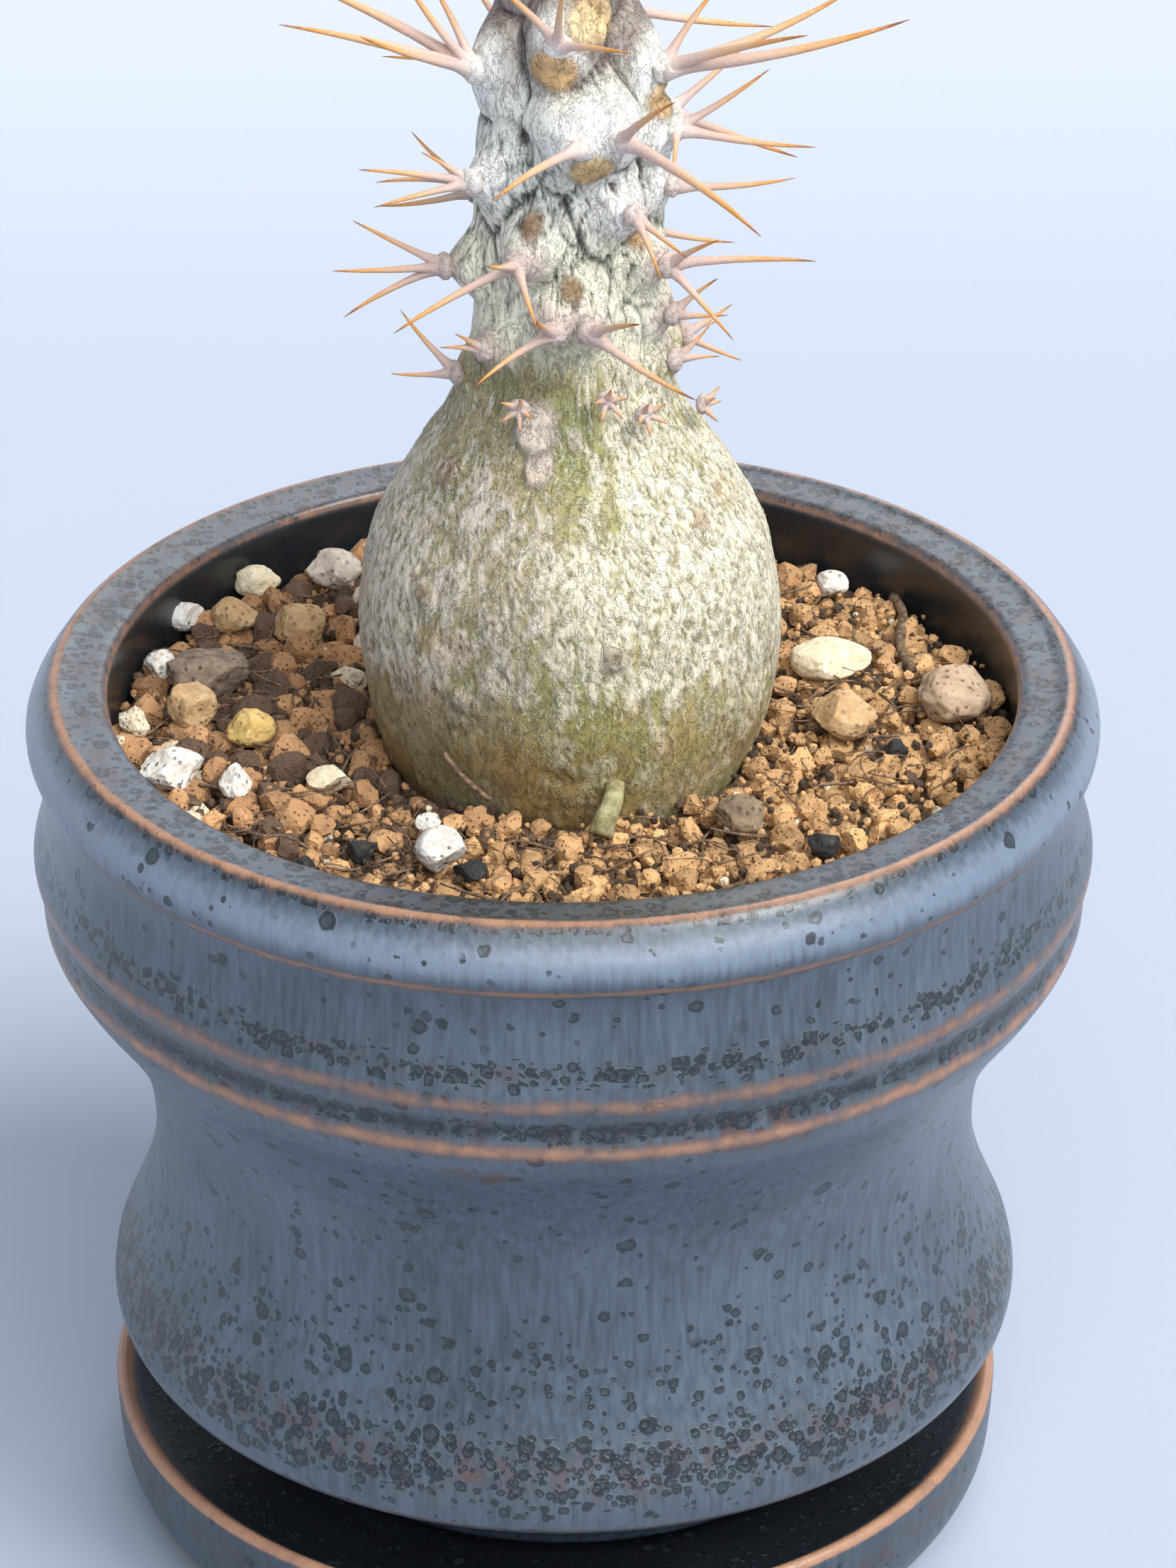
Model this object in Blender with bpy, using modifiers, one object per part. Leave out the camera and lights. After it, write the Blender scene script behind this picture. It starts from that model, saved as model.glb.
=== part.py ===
"""Round-based spiny succulent growing in a turned stoneware pot that stands on its saucer.

Run with: blender --background --python part.py
Lengths are in metres and +Z is up. The origin is the centre of the saucer's underside, on the
pot's axis. The front of the plant faces -Y.
"""

import math
import random

import bmesh
import bpy
from mathutils import Matrix, Vector

MM = 0.001

# ---------------------------------------------------------------- driving dimensions
RIM_HEIGHT = 0.098         # pot rim above the surface that the saucer stands on
RIM_RADIUS = 0.0551        # widest point of the rolled rim
MOUTH_RADIUS = 0.0466      # inner edge of the rim
WAIST_RADIUS = 0.0435      # narrowest point of the pot's outside
FOOT_RADIUS = 0.0335       # outside of the pot's foot ring
DRAIN_RADIUS = 0.006       # drain hole in the pot's floor
SAUCER_FLOOR = 0.0115      # top of the saucer's floor
SAUCER_RADIUS = 0.0479     # saucer rim
SAUCER_SHIFT = -0.001      # the saucer sits a little to the left of the pot
SOIL_DEPTH = 0.008         # soil surface below the pot rim
FIT = 0.0003               # clearance between pieces that touch
SOIL_TOP = RIM_HEIGHT - SOIL_DEPTH

PLANT_X = 0.0006           # the stem stands a little to the right of the pot's axis
BASE_RADIUS = 0.0213       # widest half-width of the swollen base
STEM_RADIUS = 0.0095       # stem between its spiny cushions
STEM_HEIGHT = 0.086        # top of the stem above the rim
ROOT_DEPTH = 0.030         # lowest point of the buried base below the rim

TURN_STEPS = 40            # sides of the turned pottery
STEM_STEPS = 32            # sides of the plant's body
CUSHION_WIDTH = 0.0036     # spread of a swelling under a spine cushion
SPINE_SIDES = 6

# ---------------------------------------------------------------- scene, materials and tools

for old in list(bpy.data.objects):
    bpy.data.objects.remove(old, do_unlink=True)


def new_collection(name):
    """Make a collection in the scene."""
    collection = bpy.data.collections.new(name)
    bpy.context.scene.collection.children.link(collection)
    return collection


PLANT_POT = new_collection("potted_round_succulent")
CUTTERS = new_collection("cutters")


def material(name, colour, roughness, metallic=0.0):
    """A Principled material with one colour."""
    made = bpy.data.materials.new(name)
    made.use_nodes = True
    shader = made.node_tree.nodes["Principled BSDF"]
    shader.inputs["Base Color"].default_value = (*colour, 1.0)
    shader.inputs["Roughness"].default_value = roughness
    shader.inputs["Metallic"].default_value = metallic
    return made


def add_object(name, mesh, finish=None, collection=PLANT_POT):
    """Put a mesh into the scene as a named object with its own copy of a finish."""
    placed = bpy.data.objects.new(name, mesh)
    collection.objects.link(placed)
    if finish is not None:
        own = finish.copy()
        own.name = name + "_finish"
        mesh.materials.clear()
        mesh.materials.append(own)
    return placed


def freeze(source, name, finish):
    """Replace an object by its evaluated mesh, placed in world space."""
    graph = bpy.context.evaluated_depsgraph_get()
    mesh = bpy.data.meshes.new_from_object(source.evaluated_get(graph))
    mesh.transform(source.matrix_world)
    bpy.data.objects.remove(source, do_unlink=True)
    work = bmesh.new()
    work.from_mesh(mesh)
    bmesh.ops.remove_doubles(work, verts=work.verts, dist=0.00001)
    bmesh.ops.recalc_face_normals(work, faces=work.faces)
    work.to_mesh(mesh)
    work.free()
    frozen = add_object(name, mesh, finish)
    mesh.shade_smooth()
    return frozen


def as_cutter(cutter):
    """Mark an object as a cutter: shown as wire and never rendered."""
    cutter.hide_render = True
    cutter.display_type = "WIRE"
    return cutter


def cut(target, cutter):
    """Cut one object out of another with an exact Boolean."""
    modifier = target.modifiers.new("cut", "BOOLEAN")
    modifier.operation = "DIFFERENCE"
    modifier.solver = "EXACT"
    modifier.object = as_cutter(cutter)


def smooth_line(points, per_span):
    """Points along a smooth curve through the given ones (Catmull-Rom)."""
    line = []
    last = len(points) - 1
    for i in range(last):
        before = Vector(points[max(i - 1, 0)])
        start = Vector(points[i])
        end = Vector(points[i + 1])
        after = Vector(points[min(i + 2, last)])
        for k in range(per_span):
            t = k / per_span
            line.append(0.5 * ((2 * start) + (end - before) * t
                               + (2 * before - 5 * start + 4 * end - after) * t ** 2
                               + (3 * start - before - 3 * end + after) * t ** 3))
    line.append(Vector(points[last]))
    return line


def turned(name, outline, finish, closed, steps=TURN_STEPS, collection=PLANT_POT):
    """Turn an outline of (radius, height) about Z with a Screw modifier.

    The outline runs from top to bottom on its outer side. A closed outline returns to its start,
    and an open one starts and ends on the axis.
    """
    count = len(outline)
    edges = [(i, i + 1) for i in range(count - 1)]
    if closed:
        edges.append((count - 1, 0))
    mesh = bpy.data.meshes.new(name)
    mesh.from_pydata([(r, 0.0, z) for r, z in outline], edges, [])
    piece = add_object(name, mesh, finish, collection)
    screw = piece.modifiers.new("turn", "SCREW")
    screw.steps = steps
    screw.render_steps = steps
    screw.use_merge_vertices = True
    screw.merge_threshold = 0.00001
    return piece


GLAZE = material("slate_glaze", (0.20, 0.24, 0.30), 0.35)
EARTH = material("potting_mix", (0.16, 0.11, 0.07), 0.95)
SKIN = material("stem_skin", (0.46, 0.47, 0.38), 0.75)
THORN = material("spine_horn", (0.62, 0.38, 0.20), 0.50)
NET = material("drain_net_plastic", (0.05, 0.05, 0.05), 0.60)

# ---------------------------------------------------------------- pot

LIP = 0.0007               # the rim's top falls this much towards its inner edge
SHOULDER_RADIUS = 0.052    # crest of the rim's top, where it turns into the bead
LOWER_EDGE = 0.0235        # edge under the pot's lower bulge
POT_FLOOR = 0.0188         # top of the pot's floor
FOOT_RECESS = 0.003        # depth of the hollow inside the foot ring
FOOT_WIDTH = 0.004         # width of the foot ring

foot_bottom = SAUCER_FLOOR + FIT

# Outside of the body from the rim's bead down to the lower edge, as (radius, height).
bead = [(SHOULDER_RADIUS, RIM_HEIGHT), (0.0538, 0.0959), (RIM_RADIUS, 0.0935), (0.0542, 0.0900)]
collar = [(0.0537, 0.0860), (0.0542, 0.0818), (0.0549, 0.0790), (0.0538, 0.0755), (0.0541, 0.0730)]
waist = smooth_line([(0.0534, 0.0710), (0.0481, 0.0630), (0.0446, 0.0550),
                     (WAIST_RADIUS, 0.0470), (0.0446, 0.0382), (0.0480, 0.0300)], 2)
bulge = [(0.0486, 0.0270), (0.0484, 0.0250), (0.0474, LOWER_EDGE)]
under = [(0.0390, 0.0178), (FOOT_RADIUS, 0.0135), (FOOT_RADIUS, foot_bottom),
         (FOOT_RADIUS - FOOT_WIDTH, foot_bottom),
         (FOOT_RADIUS - FOOT_WIDTH, foot_bottom + FOOT_RECESS),
         (DRAIN_RADIUS, foot_bottom + FOOT_RECESS)]
# Inside of the wall from the floor up to the mouth; the soil follows the same line.
inner_wall = [(0.0330, POT_FLOOR), (0.0410, 0.0226), (0.0434, 0.0290), (0.0414, 0.0360),
              (0.0394, 0.0440), (0.0396, 0.0520), (0.0420, 0.0600), (0.0455, 0.0670),
              (MOUTH_RADIUS, 0.0720)]
inside = [(DRAIN_RADIUS, POT_FLOOR)] + inner_wall + [(MOUTH_RADIUS, RIM_HEIGHT - LIP)]

pot_outline = bead + collar + [(p.x, p.y) for p in waist] + bulge + under + inside
turned("pot", pot_outline, GLAZE, closed=True)

# ---------------------------------------------------------------- saucer

SAUCER_BASE_RADIUS = 0.0410
SAUCER_WELL_RADIUS = 0.0390    # edge of the saucer's flat floor
SAUCER_RIM_HEIGHT = 0.0143

saucer_outline = [(0.0, SAUCER_FLOOR), (SAUCER_WELL_RADIUS, SAUCER_FLOOR),
                  (0.0440, 0.0128), (0.0462, SAUCER_RIM_HEIGHT),
                  (0.0474, SAUCER_RIM_HEIGHT + 0.0003), (SAUCER_RADIUS, SAUCER_RIM_HEIGHT - 0.0004),
                  (0.0475, 0.0070), (0.0440, 0.0020), (0.0425, 0.0005),
                  (SAUCER_BASE_RADIUS, 0.0), (0.0, 0.0)]
saucer = turned("saucer", saucer_outline, GLAZE, closed=False)
saucer.location.x = SAUCER_SHIFT

# ---------------------------------------------------------------- drain net under the soil

NET_CELLS = 9
NET_SIZE = 0.020
NET_THICKNESS = 0.0008


def drain_net():
    """A square net: a grid of cells with every second cell of every second row open."""
    work = bmesh.new()
    bmesh.ops.create_grid(work, x_segments=NET_CELLS, y_segments=NET_CELLS, size=NET_SIZE / 2)
    cell = NET_SIZE / NET_CELLS
    holes = []
    for face in work.faces:
        middle = face.calc_center_median()
        column = int((middle.x + NET_SIZE / 2) / cell)
        row = int((middle.y + NET_SIZE / 2) / cell)
        if column % 2 and row % 2:
            holes.append(face)
    bmesh.ops.delete(work, geom=holes, context="FACES")
    mesh = bpy.data.meshes.new("drain_net")
    work.to_mesh(mesh)
    work.free()
    net = add_object("drain_net", mesh, NET)
    net.location.z = POT_FLOOR + FIT
    solid = net.modifiers.new("thickness", "SOLIDIFY")
    solid.thickness = NET_THICKNESS
    solid.offset = 1.0


drain_net()

# ---------------------------------------------------------------- plant body

# Half-width of the plant against its height above the rim, from the stem's top down to the root.
BODY_OUTLINE = [(0.0, STEM_HEIGHT), (0.0032, 0.0848), (0.0050, 0.0805), (0.0062, 0.0750),
                (0.0078, 0.0690), (0.0088, 0.0620), (STEM_RADIUS, 0.0540), (STEM_RADIUS, 0.0450),
                (STEM_RADIUS, 0.0380), (0.0103, 0.0335), (0.0123, 0.0289), (0.0150, 0.0248),
                (0.0180, 0.0198), (0.0202, 0.0148), (BASE_RADIUS, 0.0070), (0.0208, -0.0005),
                (0.0187, -0.0080), (0.0140, -0.0170), (0.0075, -0.0250), (0.0, -ROOT_DEPTH)]

# Spine cushions: name, bearing in degrees from +X, height above the rim in mm, reach of the
# swelling from the stem's centre in mm, and the tip of each spine from the cushion in mm.
CUSHIONS = [
    ("spines_upper_left", -150, 67.5, 10.3,
     [(-17.5, -2, 5.5), (-9.5, -9, 7), (-18, 3, 9), (-6.5, 0, 11), (-4, 4, 9)]),
    ("spines_upper_front", -95, 71.5, 9.6, [(-7, -3, 8.5), (7, -7, 2.5), (1, -5, 9.5)]),
    ("spines_upper_right", -28, 67.5, 10.3,
     [(12.5, -9, 7), (22.5, -1, 5.5), (5, 2, 8.5), (17.5, 6, 6)]),
    ("spines_right_high", -22, 61, 11.2, [(8, 2, 5.5), (12.5, -2, -1), (-1.5, -7, -1.5)]),
    ("spines_front_high_left", -84, 62.6, 13.2, [(-8.5, -12, 0)]),
    ("spines_front_high_right", -67, 63, 13.2, [(4.5, -9, 8), (12.5, -14, -3.5)]),
    ("spines_left_high", -143, 56.5, 11.5,
     [(-10, -1, 2), (-4, 1, 3), (-8.5, 3, -1), (-8.5, -2, -1.5)]),
    ("spine_right_middle", -22, 55, 10.8, [(11, 1, 0.5)]),
    ("spines_front_middle", -58, 54.5, 12, [(4.5, -5, -2), (2, -6, -4)]),
    ("spines_left_middle", -166, 46, 12.3, [(-8, 1, 4.5), (-10, -1, 0), (-9, -1, -5)]),
    ("spines_front_left", -112, 50, 12.8, [(-11.5, -4, -5), (2.5, -6, -4), (-2.5, -6, 3)]),
    ("spines_front_right", -37, 48, 12, [(5.5, -5, -5.5), (13.5, -2, 1.5), (4, -5, 5)]),
    ("spines_low_front_left", -96, 43.2, 12.8, [(-7.5, -6, -2.5), (-1.5, -6, 4.5)]),
    ("spines_low_front_right", -80, 43.2, 12.8, [(10, -7, -3.5), (4.5, -7, 4.5)]),
    ("spines_right_low", -28, 42, 11.5, [(3.5, 0, 4), (4.5, -1, 0.5)]),
    ("spines_left_low", -138, 39, 11, [(-3.5, -1, 1), (-2, -1, 2.5)]),
    ("spines_left_lowest", -160, 35, 11.6, [(-4.5, 1, 6.5), (-5.5, 0, 0)]),
    ("spines_right_lowest", -22, 36.5, 11.2, [(2.5, 1, 3.5), (3.5, 0, 0.5)]),
]

# The hidden side carries on the same way: each cushion is a golden share of the arc further on.
BACK_COUNT = 8
BACK_LOW = 36
BACK_RISE = 4.6
BACK_START = 14
BACK_ARC = 150
GOLDEN_SHARE = 0.618


def back_cushions():
    """Cushions on the hidden side, with a left, a right and a rising spine on each."""
    made = []
    for i in range(BACK_COUNT):
        bearing = BACK_START + (i * GOLDEN_SHARE * BACK_ARC) % BACK_ARC
        height = BACK_LOW + BACK_RISE * i
        length = 6 + 1.4 * i
        reach = 11.8 - 0.15 * i if height < 60 else 10.6
        spines = []
        for turn, rise, share in ((-50, -0.25, 1.0), (48, -0.15, 0.9), (5, 0.65, 0.8)):
            around = math.radians(bearing + turn)
            flat = length * share * math.cos(math.atan(rise))
            spines.append((flat * math.cos(around), flat * math.sin(around), flat * rise))
        made.append(("spines_back_%d" % (i + 1), bearing, height, reach, spines))
    return made


def crown_cushions():
    """Cushions near the top, round the whole stem, with steeper spines."""
    made = []
    for i in range(4):
        bearing = 35 + 90 * i
        around = math.radians(bearing)
        side = math.radians(bearing + 70)
        spines = [(4.5 * math.cos(around), 4.5 * math.sin(around), 6.5),
                  (5 * math.cos(side), 5 * math.sin(side), 5)]
        made.append(("spines_crown_%d" % (i + 1), bearing, 78.5 + 0.8 * (i % 2), 7.6, spines))
    return made


# Young stars of short spines on the shoulder of the base: name, bearing, height and reach.
STARS = [("star_front_left", -112, 34.5, 12.2), ("star_front", -72, 35.5, 12.0),
         ("star_front_right", -54, 33.5, 12.6), ("star_right", -12, 31.0, 13.4)]
STAR_SPINES = 3
STAR_LENGTH = 2.4


def star_cushions():
    """Small cushions whose short spines spread evenly round the outward direction."""
    made = []
    for name, bearing, height, reach in STARS:
        out = Vector((math.cos(math.radians(bearing)), math.sin(math.radians(bearing)), 0.35))
        out.normalize()
        side = out.cross(Vector((0, 0, 1))).normalized()
        rise = side.cross(out)
        spines = []
        for k in range(STAR_SPINES):
            turn = math.tau * k / STAR_SPINES + 0.5
            spread = side * math.cos(turn) + rise * math.sin(turn)
            spines.append(tuple((out * 0.75 + spread * 0.66) * STAR_LENGTH))
        made.append((name, bearing, height, reach, spines))
    return made


def core_radius(height):
    """Half-width of the smooth plant body at a height above the rim."""
    for (r_high, high), (r_low, low) in zip(BODY_OUTLINE, BODY_OUTLINE[1:]):
        if low <= height <= high:
            return r_low + (r_high - r_low) * (height - low) / (high - low)
    return 0.0


def raise_cushions(mesh, cushions):
    """Push the stem's surface out in a smooth swelling under each cushion."""
    for vertex in mesh.vertices:
        radius = math.hypot(vertex.co.x, vertex.co.y)
        if radius < 0.0005:
            continue
        bearing = math.atan2(vertex.co.y, vertex.co.x)
        push = 0.0
        for _, turn, height, reach, _ in cushions:
            crest = reach * MM - core_radius(height * MM)
            away = (bearing - math.radians(turn) + math.pi) % math.tau - math.pi
            distance = math.hypot(away * radius, vertex.co.z - height * MM)
            push = max(push, crest * math.exp(-(distance / CUSHION_WIDTH) ** 2))
        vertex.co.x *= (radius + push) / radius
        vertex.co.y *= (radius + push) / radius


def plant_body(cushions):
    """The swollen base and stem, grown as one piece, with a swelling under each cushion."""
    outline = [(max(p.x, 0.0), p.y) for p in smooth_line(BODY_OUTLINE, 2)]
    raw = turned("raw_body", outline, SKIN, closed=False, steps=STEM_STEPS)
    body = freeze(raw, "plant_body", SKIN)
    raise_cushions(body.data, cushions)
    body.data.transform(Matrix.Translation((PLANT_X, 0, RIM_HEIGHT)))


def soil_pocket():
    """Cutter for the space that the buried base takes in the soil, a fit wider all round."""
    buried = [(r + 2 * FIT, z) for r, z in BODY_OUTLINE if z < 0.001]
    top_radius = buried[0][0]
    outline = [(0.0, 0.002), (top_radius, 0.002)] + buried[:-1] + [(0.0, -ROOT_DEPTH - 2 * FIT)]
    pocket = turned("pocket_cutter", outline, None, closed=False, steps=STEM_STEPS,
                    collection=CUTTERS)
    pocket.location = (PLANT_X, 0, RIM_HEIGHT)
    return pocket


# ---------------------------------------------------------------- soil

SOIL_WALL_GAP = 0.0006     # the soil's flats stay clear of the pot's flats
SOIL_FLOOR = POT_FLOOR + NET_THICKNESS + 2 * FIT

soil_side = [(r - SOIL_WALL_GAP, z) for r, z in inner_wall[::-1] if z > SOIL_FLOOR]
soil_outline = [(0.0, SOIL_TOP), (MOUTH_RADIUS - SOIL_WALL_GAP, SOIL_TOP)] + soil_side
soil_outline += [(0.0335, SOIL_FLOOR), (0.0, SOIL_FLOOR)]
soil = turned("soil_bed", soil_outline, EARTH, closed=False)
cut(soil, soil_pocket())

# ---------------------------------------------------------------- spines

PAD_HALF_WIDTH = 0.0017
PAD_HALF_DEPTH = 0.0009
SPINE_TIP_RADIUS = 0.00015


def spine_radius(length):
    """Half-thickness of a spine at its foot, for its length."""
    return min(0.00035 + 0.035 * length, 0.00085)


def add_spine(work, start, reach):
    """Add a tapering six-sided spine from start along reach."""
    length = reach.length
    place = Matrix.Translation(start + reach / 2)
    place = place @ Vector((0, 0, 1)).rotation_difference(reach).to_matrix().to_4x4()
    bmesh.ops.create_cone(work, cap_ends=True, segments=SPINE_SIDES,
                          radius1=spine_radius(length), radius2=SPINE_TIP_RADIUS,
                          depth=length, matrix=place)


def mesh_object(name, work):
    """Make a working object from a bmesh."""
    mesh = bpy.data.meshes.new(name)
    work.to_mesh(mesh)
    work.free()
    return add_object(name, mesh)


def spine_cushion(name, bearing, height, reach, tips, scale=1.0):
    """A felted cushion with its spines, united in one solid just clear of the stem."""
    turn = math.radians(bearing)
    out = Vector((math.cos(turn), math.sin(turn), 0))
    distance = reach * MM + FIT + PAD_HALF_DEPTH * scale
    centre = Vector((PLANT_X, 0, RIM_HEIGHT + height * MM)) + out * distance
    pad_work = bmesh.new()
    squash = Matrix.Diagonal((PAD_HALF_DEPTH * scale, PAD_HALF_WIDTH * scale,
                              PAD_HALF_WIDTH * scale, 1))
    place = Matrix.Translation(centre) @ Matrix.Rotation(turn, 4, "Z") @ squash
    bmesh.ops.create_uvsphere(pad_work, u_segments=8, v_segments=5, radius=1.0, matrix=place)
    pad = mesh_object("raw_pad", pad_work)
    spine_work = bmesh.new()
    for tip in tips:
        add_spine(spine_work, centre, Vector(tip) * MM)
    spines = mesh_object("raw_spines", spine_work)
    union = pad.modifiers.new("unite", "BOOLEAN")
    union.operation = "UNION"
    union.solver = "EXACT"
    union.use_self = True
    union.object = spines
    freeze(pad, name, THORN)
    bpy.data.objects.remove(spines, do_unlink=True)


large_cushions = CUSHIONS + back_cushions() + crown_cushions()
small_stars = star_cushions()
plant_body(large_cushions)
for cushion in large_cushions:
    spine_cushion(*cushion)
for star in small_stars:
    spine_cushion(*star, scale=0.55)

# ---------------------------------------------------------------- stones, chips and twig

# Rounded and broken stones on the soil: name, shape, centre in mm, size in mm, heading, colour.
STONES = [
    ("pumice_white", "round", (-39.6, -11.5), (6.4, 5.4, 4.2), 10, (0.72, 0.70, 0.66)),
    ("pumice_small", "broken", (-33.6, -13.2), (3.8, 4.8, 3.4), 20, (0.62, 0.60, 0.55)),
    ("kanuma_lump", "round", (-32.0, -2.6), (5.2, 4.6, 4.0), 0, (0.78, 0.66, 0.36)),
    ("cream_chip", "broken", (-23.6, -11.8), (5.0, 2.6, 2.6), -8, (0.74, 0.68, 0.54)),
    ("bark_chip", "broken", (-37.0, 9.0), (8.6, 7.0, 4.6), -15, (0.22, 0.15, 0.10)),
    ("grey_stone_back", "round", (-24.8, 33.0), (6.0, 5.2, 4.4), 25, (0.55, 0.52, 0.48)),
    ("speckled_stone", "round", (-12.0, -28.0), (5.2, 5.6, 4.2), 0, (0.60, 0.59, 0.57)),
    ("charcoal_left", "broken", (-19.8, -27.0), (3.4, 3.0, 2.8), 30, (0.03, 0.03, 0.03)),
    ("charcoal_right", "broken", (26.0, -26.2), (3.4, 3.0, 2.8), -20, (0.03, 0.03, 0.03)),
    ("cream_stone", "round", (28.0, 12.2), (8.4, 5.4, 4.6), -12, (0.78, 0.73, 0.64)),
    ("tan_stone", "broken", (28.8, -0.8), (6.8, 6.2, 4.8), 15, (0.60, 0.48, 0.34)),
    ("beige_stone", "broken", (40.4, 4.0), (7.6, 8.0, 5.2), 5, (0.66, 0.58, 0.48)),
    ("dark_speckled_stone", "round", (17.8, -20.4), (4.7, 5.0, 3.8), -30, (0.24, 0.24, 0.24)),
    ("white_stone_back", "round", (28.9, 31.6), (3.6, 3.2, 2.8), 0, (0.74, 0.72, 0.70)),
]
BROKEN_CORNERS = 16


def rounded_stone(work):
    """A worn stone of unit size: a ball with shallow seeded dents."""
    bmesh.ops.create_icosphere(work, subdivisions=2, radius=0.5)
    dents = [Vector((random.gauss(0, 1), random.gauss(0, 1), random.gauss(0, 1))).normalized()
             for _ in range(5)]
    for vertex in work.verts:
        way = vertex.co.normalized()
        depth = max(max(way.dot(dent), 0) ** 6 for dent in dents)
        vertex.co *= 1 - 0.10 * depth


def broken_stone(work):
    """A broken stone of unit size: the convex hull of seeded corners on a ball."""
    for _ in range(BROKEN_CORNERS):
        way = Vector((random.gauss(0, 1), random.gauss(0, 1), random.gauss(0, 1)))
        work.verts.new(way.normalized() * 0.5)
    hull = bmesh.ops.convex_hull(work, input=work.verts)
    bmesh.ops.delete(work, geom=hull["geom_interior"], context="VERTS")


def stone(name, shape, centre, size, heading, colour):
    """A stone that rests on the soil, scaled to its size and turned to its heading."""
    work = bmesh.new()
    if shape == "round":
        rounded_stone(work)
    else:
        broken_stone(work)
    low = [min(v.co[i] for v in work.verts) for i in range(3)]
    high = [max(v.co[i] for v in work.verts) for i in range(3)]
    for vertex in work.verts:
        for i in range(3):
            share = (vertex.co[i] - low[i]) / (high[i] - low[i])
            vertex.co[i] = (share - (0.5 if i < 2 else 0.0)) * size[i] * MM
    bmesh.ops.recalc_face_normals(work, faces=work.faces)
    mesh = bpy.data.meshes.new(name)
    work.to_mesh(mesh)
    work.free()
    placed = add_object(name, mesh, material(name, colour, 0.9))
    placed.location = (centre[0] * MM, centre[1] * MM, SOIL_TOP + FIT)
    placed.rotation_euler.z = math.radians(heading)


for number, entry in enumerate(STONES):
    random.seed(number + 3)
    stone(*entry)

TWIG_RADIUS = 0.0005
TWIG_ROUTE = [(35.4, 29.0), (36.2, 24.0), (35.6, 18.0), (36.6, 12.0)]


def twig():
    """A dry twig that lies on the soil between the stones."""
    curve = bpy.data.curves.new("dry_twig", "CURVE")
    curve.dimensions = "3D"
    curve.bevel_depth = TWIG_RADIUS
    curve.bevel_resolution = 1
    curve.use_fill_caps = True
    route = smooth_line(TWIG_ROUTE, 3)
    spline = curve.splines.new("POLY")
    spline.points.add(len(route) - 1)
    for point, place in zip(spline.points, route):
        point.co = (place.x * MM, place.y * MM, SOIL_TOP + 2 * FIT + TWIG_RADIUS, 1)
    raw = bpy.data.objects.new("raw_twig", curve)
    PLANT_POT.objects.link(raw)
    freeze(raw, "dry_twig", material("dry_twig", (0.30, 0.20, 0.12), 0.85))


twig()
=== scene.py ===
"""A round-based spiny succulent in its turned stoneware pot and saucer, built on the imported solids.

Lengths are in metres, +Z is up and the plant's front faces -Y. The origin is the centre of the
saucer's underside. Sections follow the order in which the thing is put together: saucer, pot,
drain net, potting mix, top dressing, plant and spines, then the studio round it.
"""

import math

import bmesh
import bpy
import numpy as np
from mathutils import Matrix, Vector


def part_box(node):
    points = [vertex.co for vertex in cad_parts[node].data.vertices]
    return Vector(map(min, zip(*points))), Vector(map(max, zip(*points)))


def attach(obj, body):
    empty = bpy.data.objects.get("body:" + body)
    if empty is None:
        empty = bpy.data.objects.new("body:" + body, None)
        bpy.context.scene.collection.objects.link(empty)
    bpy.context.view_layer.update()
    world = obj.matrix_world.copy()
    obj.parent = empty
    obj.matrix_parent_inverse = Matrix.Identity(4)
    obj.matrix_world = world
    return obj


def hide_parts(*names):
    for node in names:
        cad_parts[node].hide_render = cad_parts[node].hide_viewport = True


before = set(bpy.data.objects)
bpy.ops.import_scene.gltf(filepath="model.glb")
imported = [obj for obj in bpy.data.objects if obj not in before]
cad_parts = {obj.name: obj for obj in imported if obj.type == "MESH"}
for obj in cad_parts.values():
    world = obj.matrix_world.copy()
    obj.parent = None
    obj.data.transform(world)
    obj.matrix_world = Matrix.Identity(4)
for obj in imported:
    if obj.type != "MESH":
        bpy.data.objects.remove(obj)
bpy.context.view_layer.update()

MM = 0.001

# ---------------------------------------------------------------------------------------------
# Saucer: thrown stoneware, glazed slate blue. Its well under the pot is painted near black as
# shade, and the glaze is drawn off the rim, where the copper-coloured body shows. It stands free on
# its flat base.


def smooth_curve(points, step):
    """Points at even spacing on a Catmull-Rom curve through the given ones.

    Each span is the cubic that leaves and arrives with the slope between its neighbours. It is
    sampled densely, and the samples are then evened out by arc length.
    """
    given = np.array(points, float)
    ends = np.vstack([2 * given[:1] - given[1:2], given, 2 * given[-1:] - given[-2:-1]])
    spans = len(given) - 1
    a, b, c, d = (ends[k:k + spans, None, :] for k in range(4))
    t = np.linspace(0, 1, 24, endpoint=False)[None, :, None]
    dense = 0.5 * (2 * b + (c - a) * t + (2 * a - 5 * b + 4 * c - d) * t ** 2
                   + (3 * b - a - 3 * c + d) * t ** 3)
    dense = np.vstack([dense.reshape(-1, given.shape[1]), given[-1:]])
    run = np.concatenate([[0], np.cumsum(np.linalg.norm(np.diff(dense, axis=0), axis=1))])
    even = np.linspace(0, run[-1], max(int(run[-1] / step), 2) + 1)
    return np.stack([np.interp(even, run, dense[:, k]) for k in range(given.shape[1])], 1)


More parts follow.
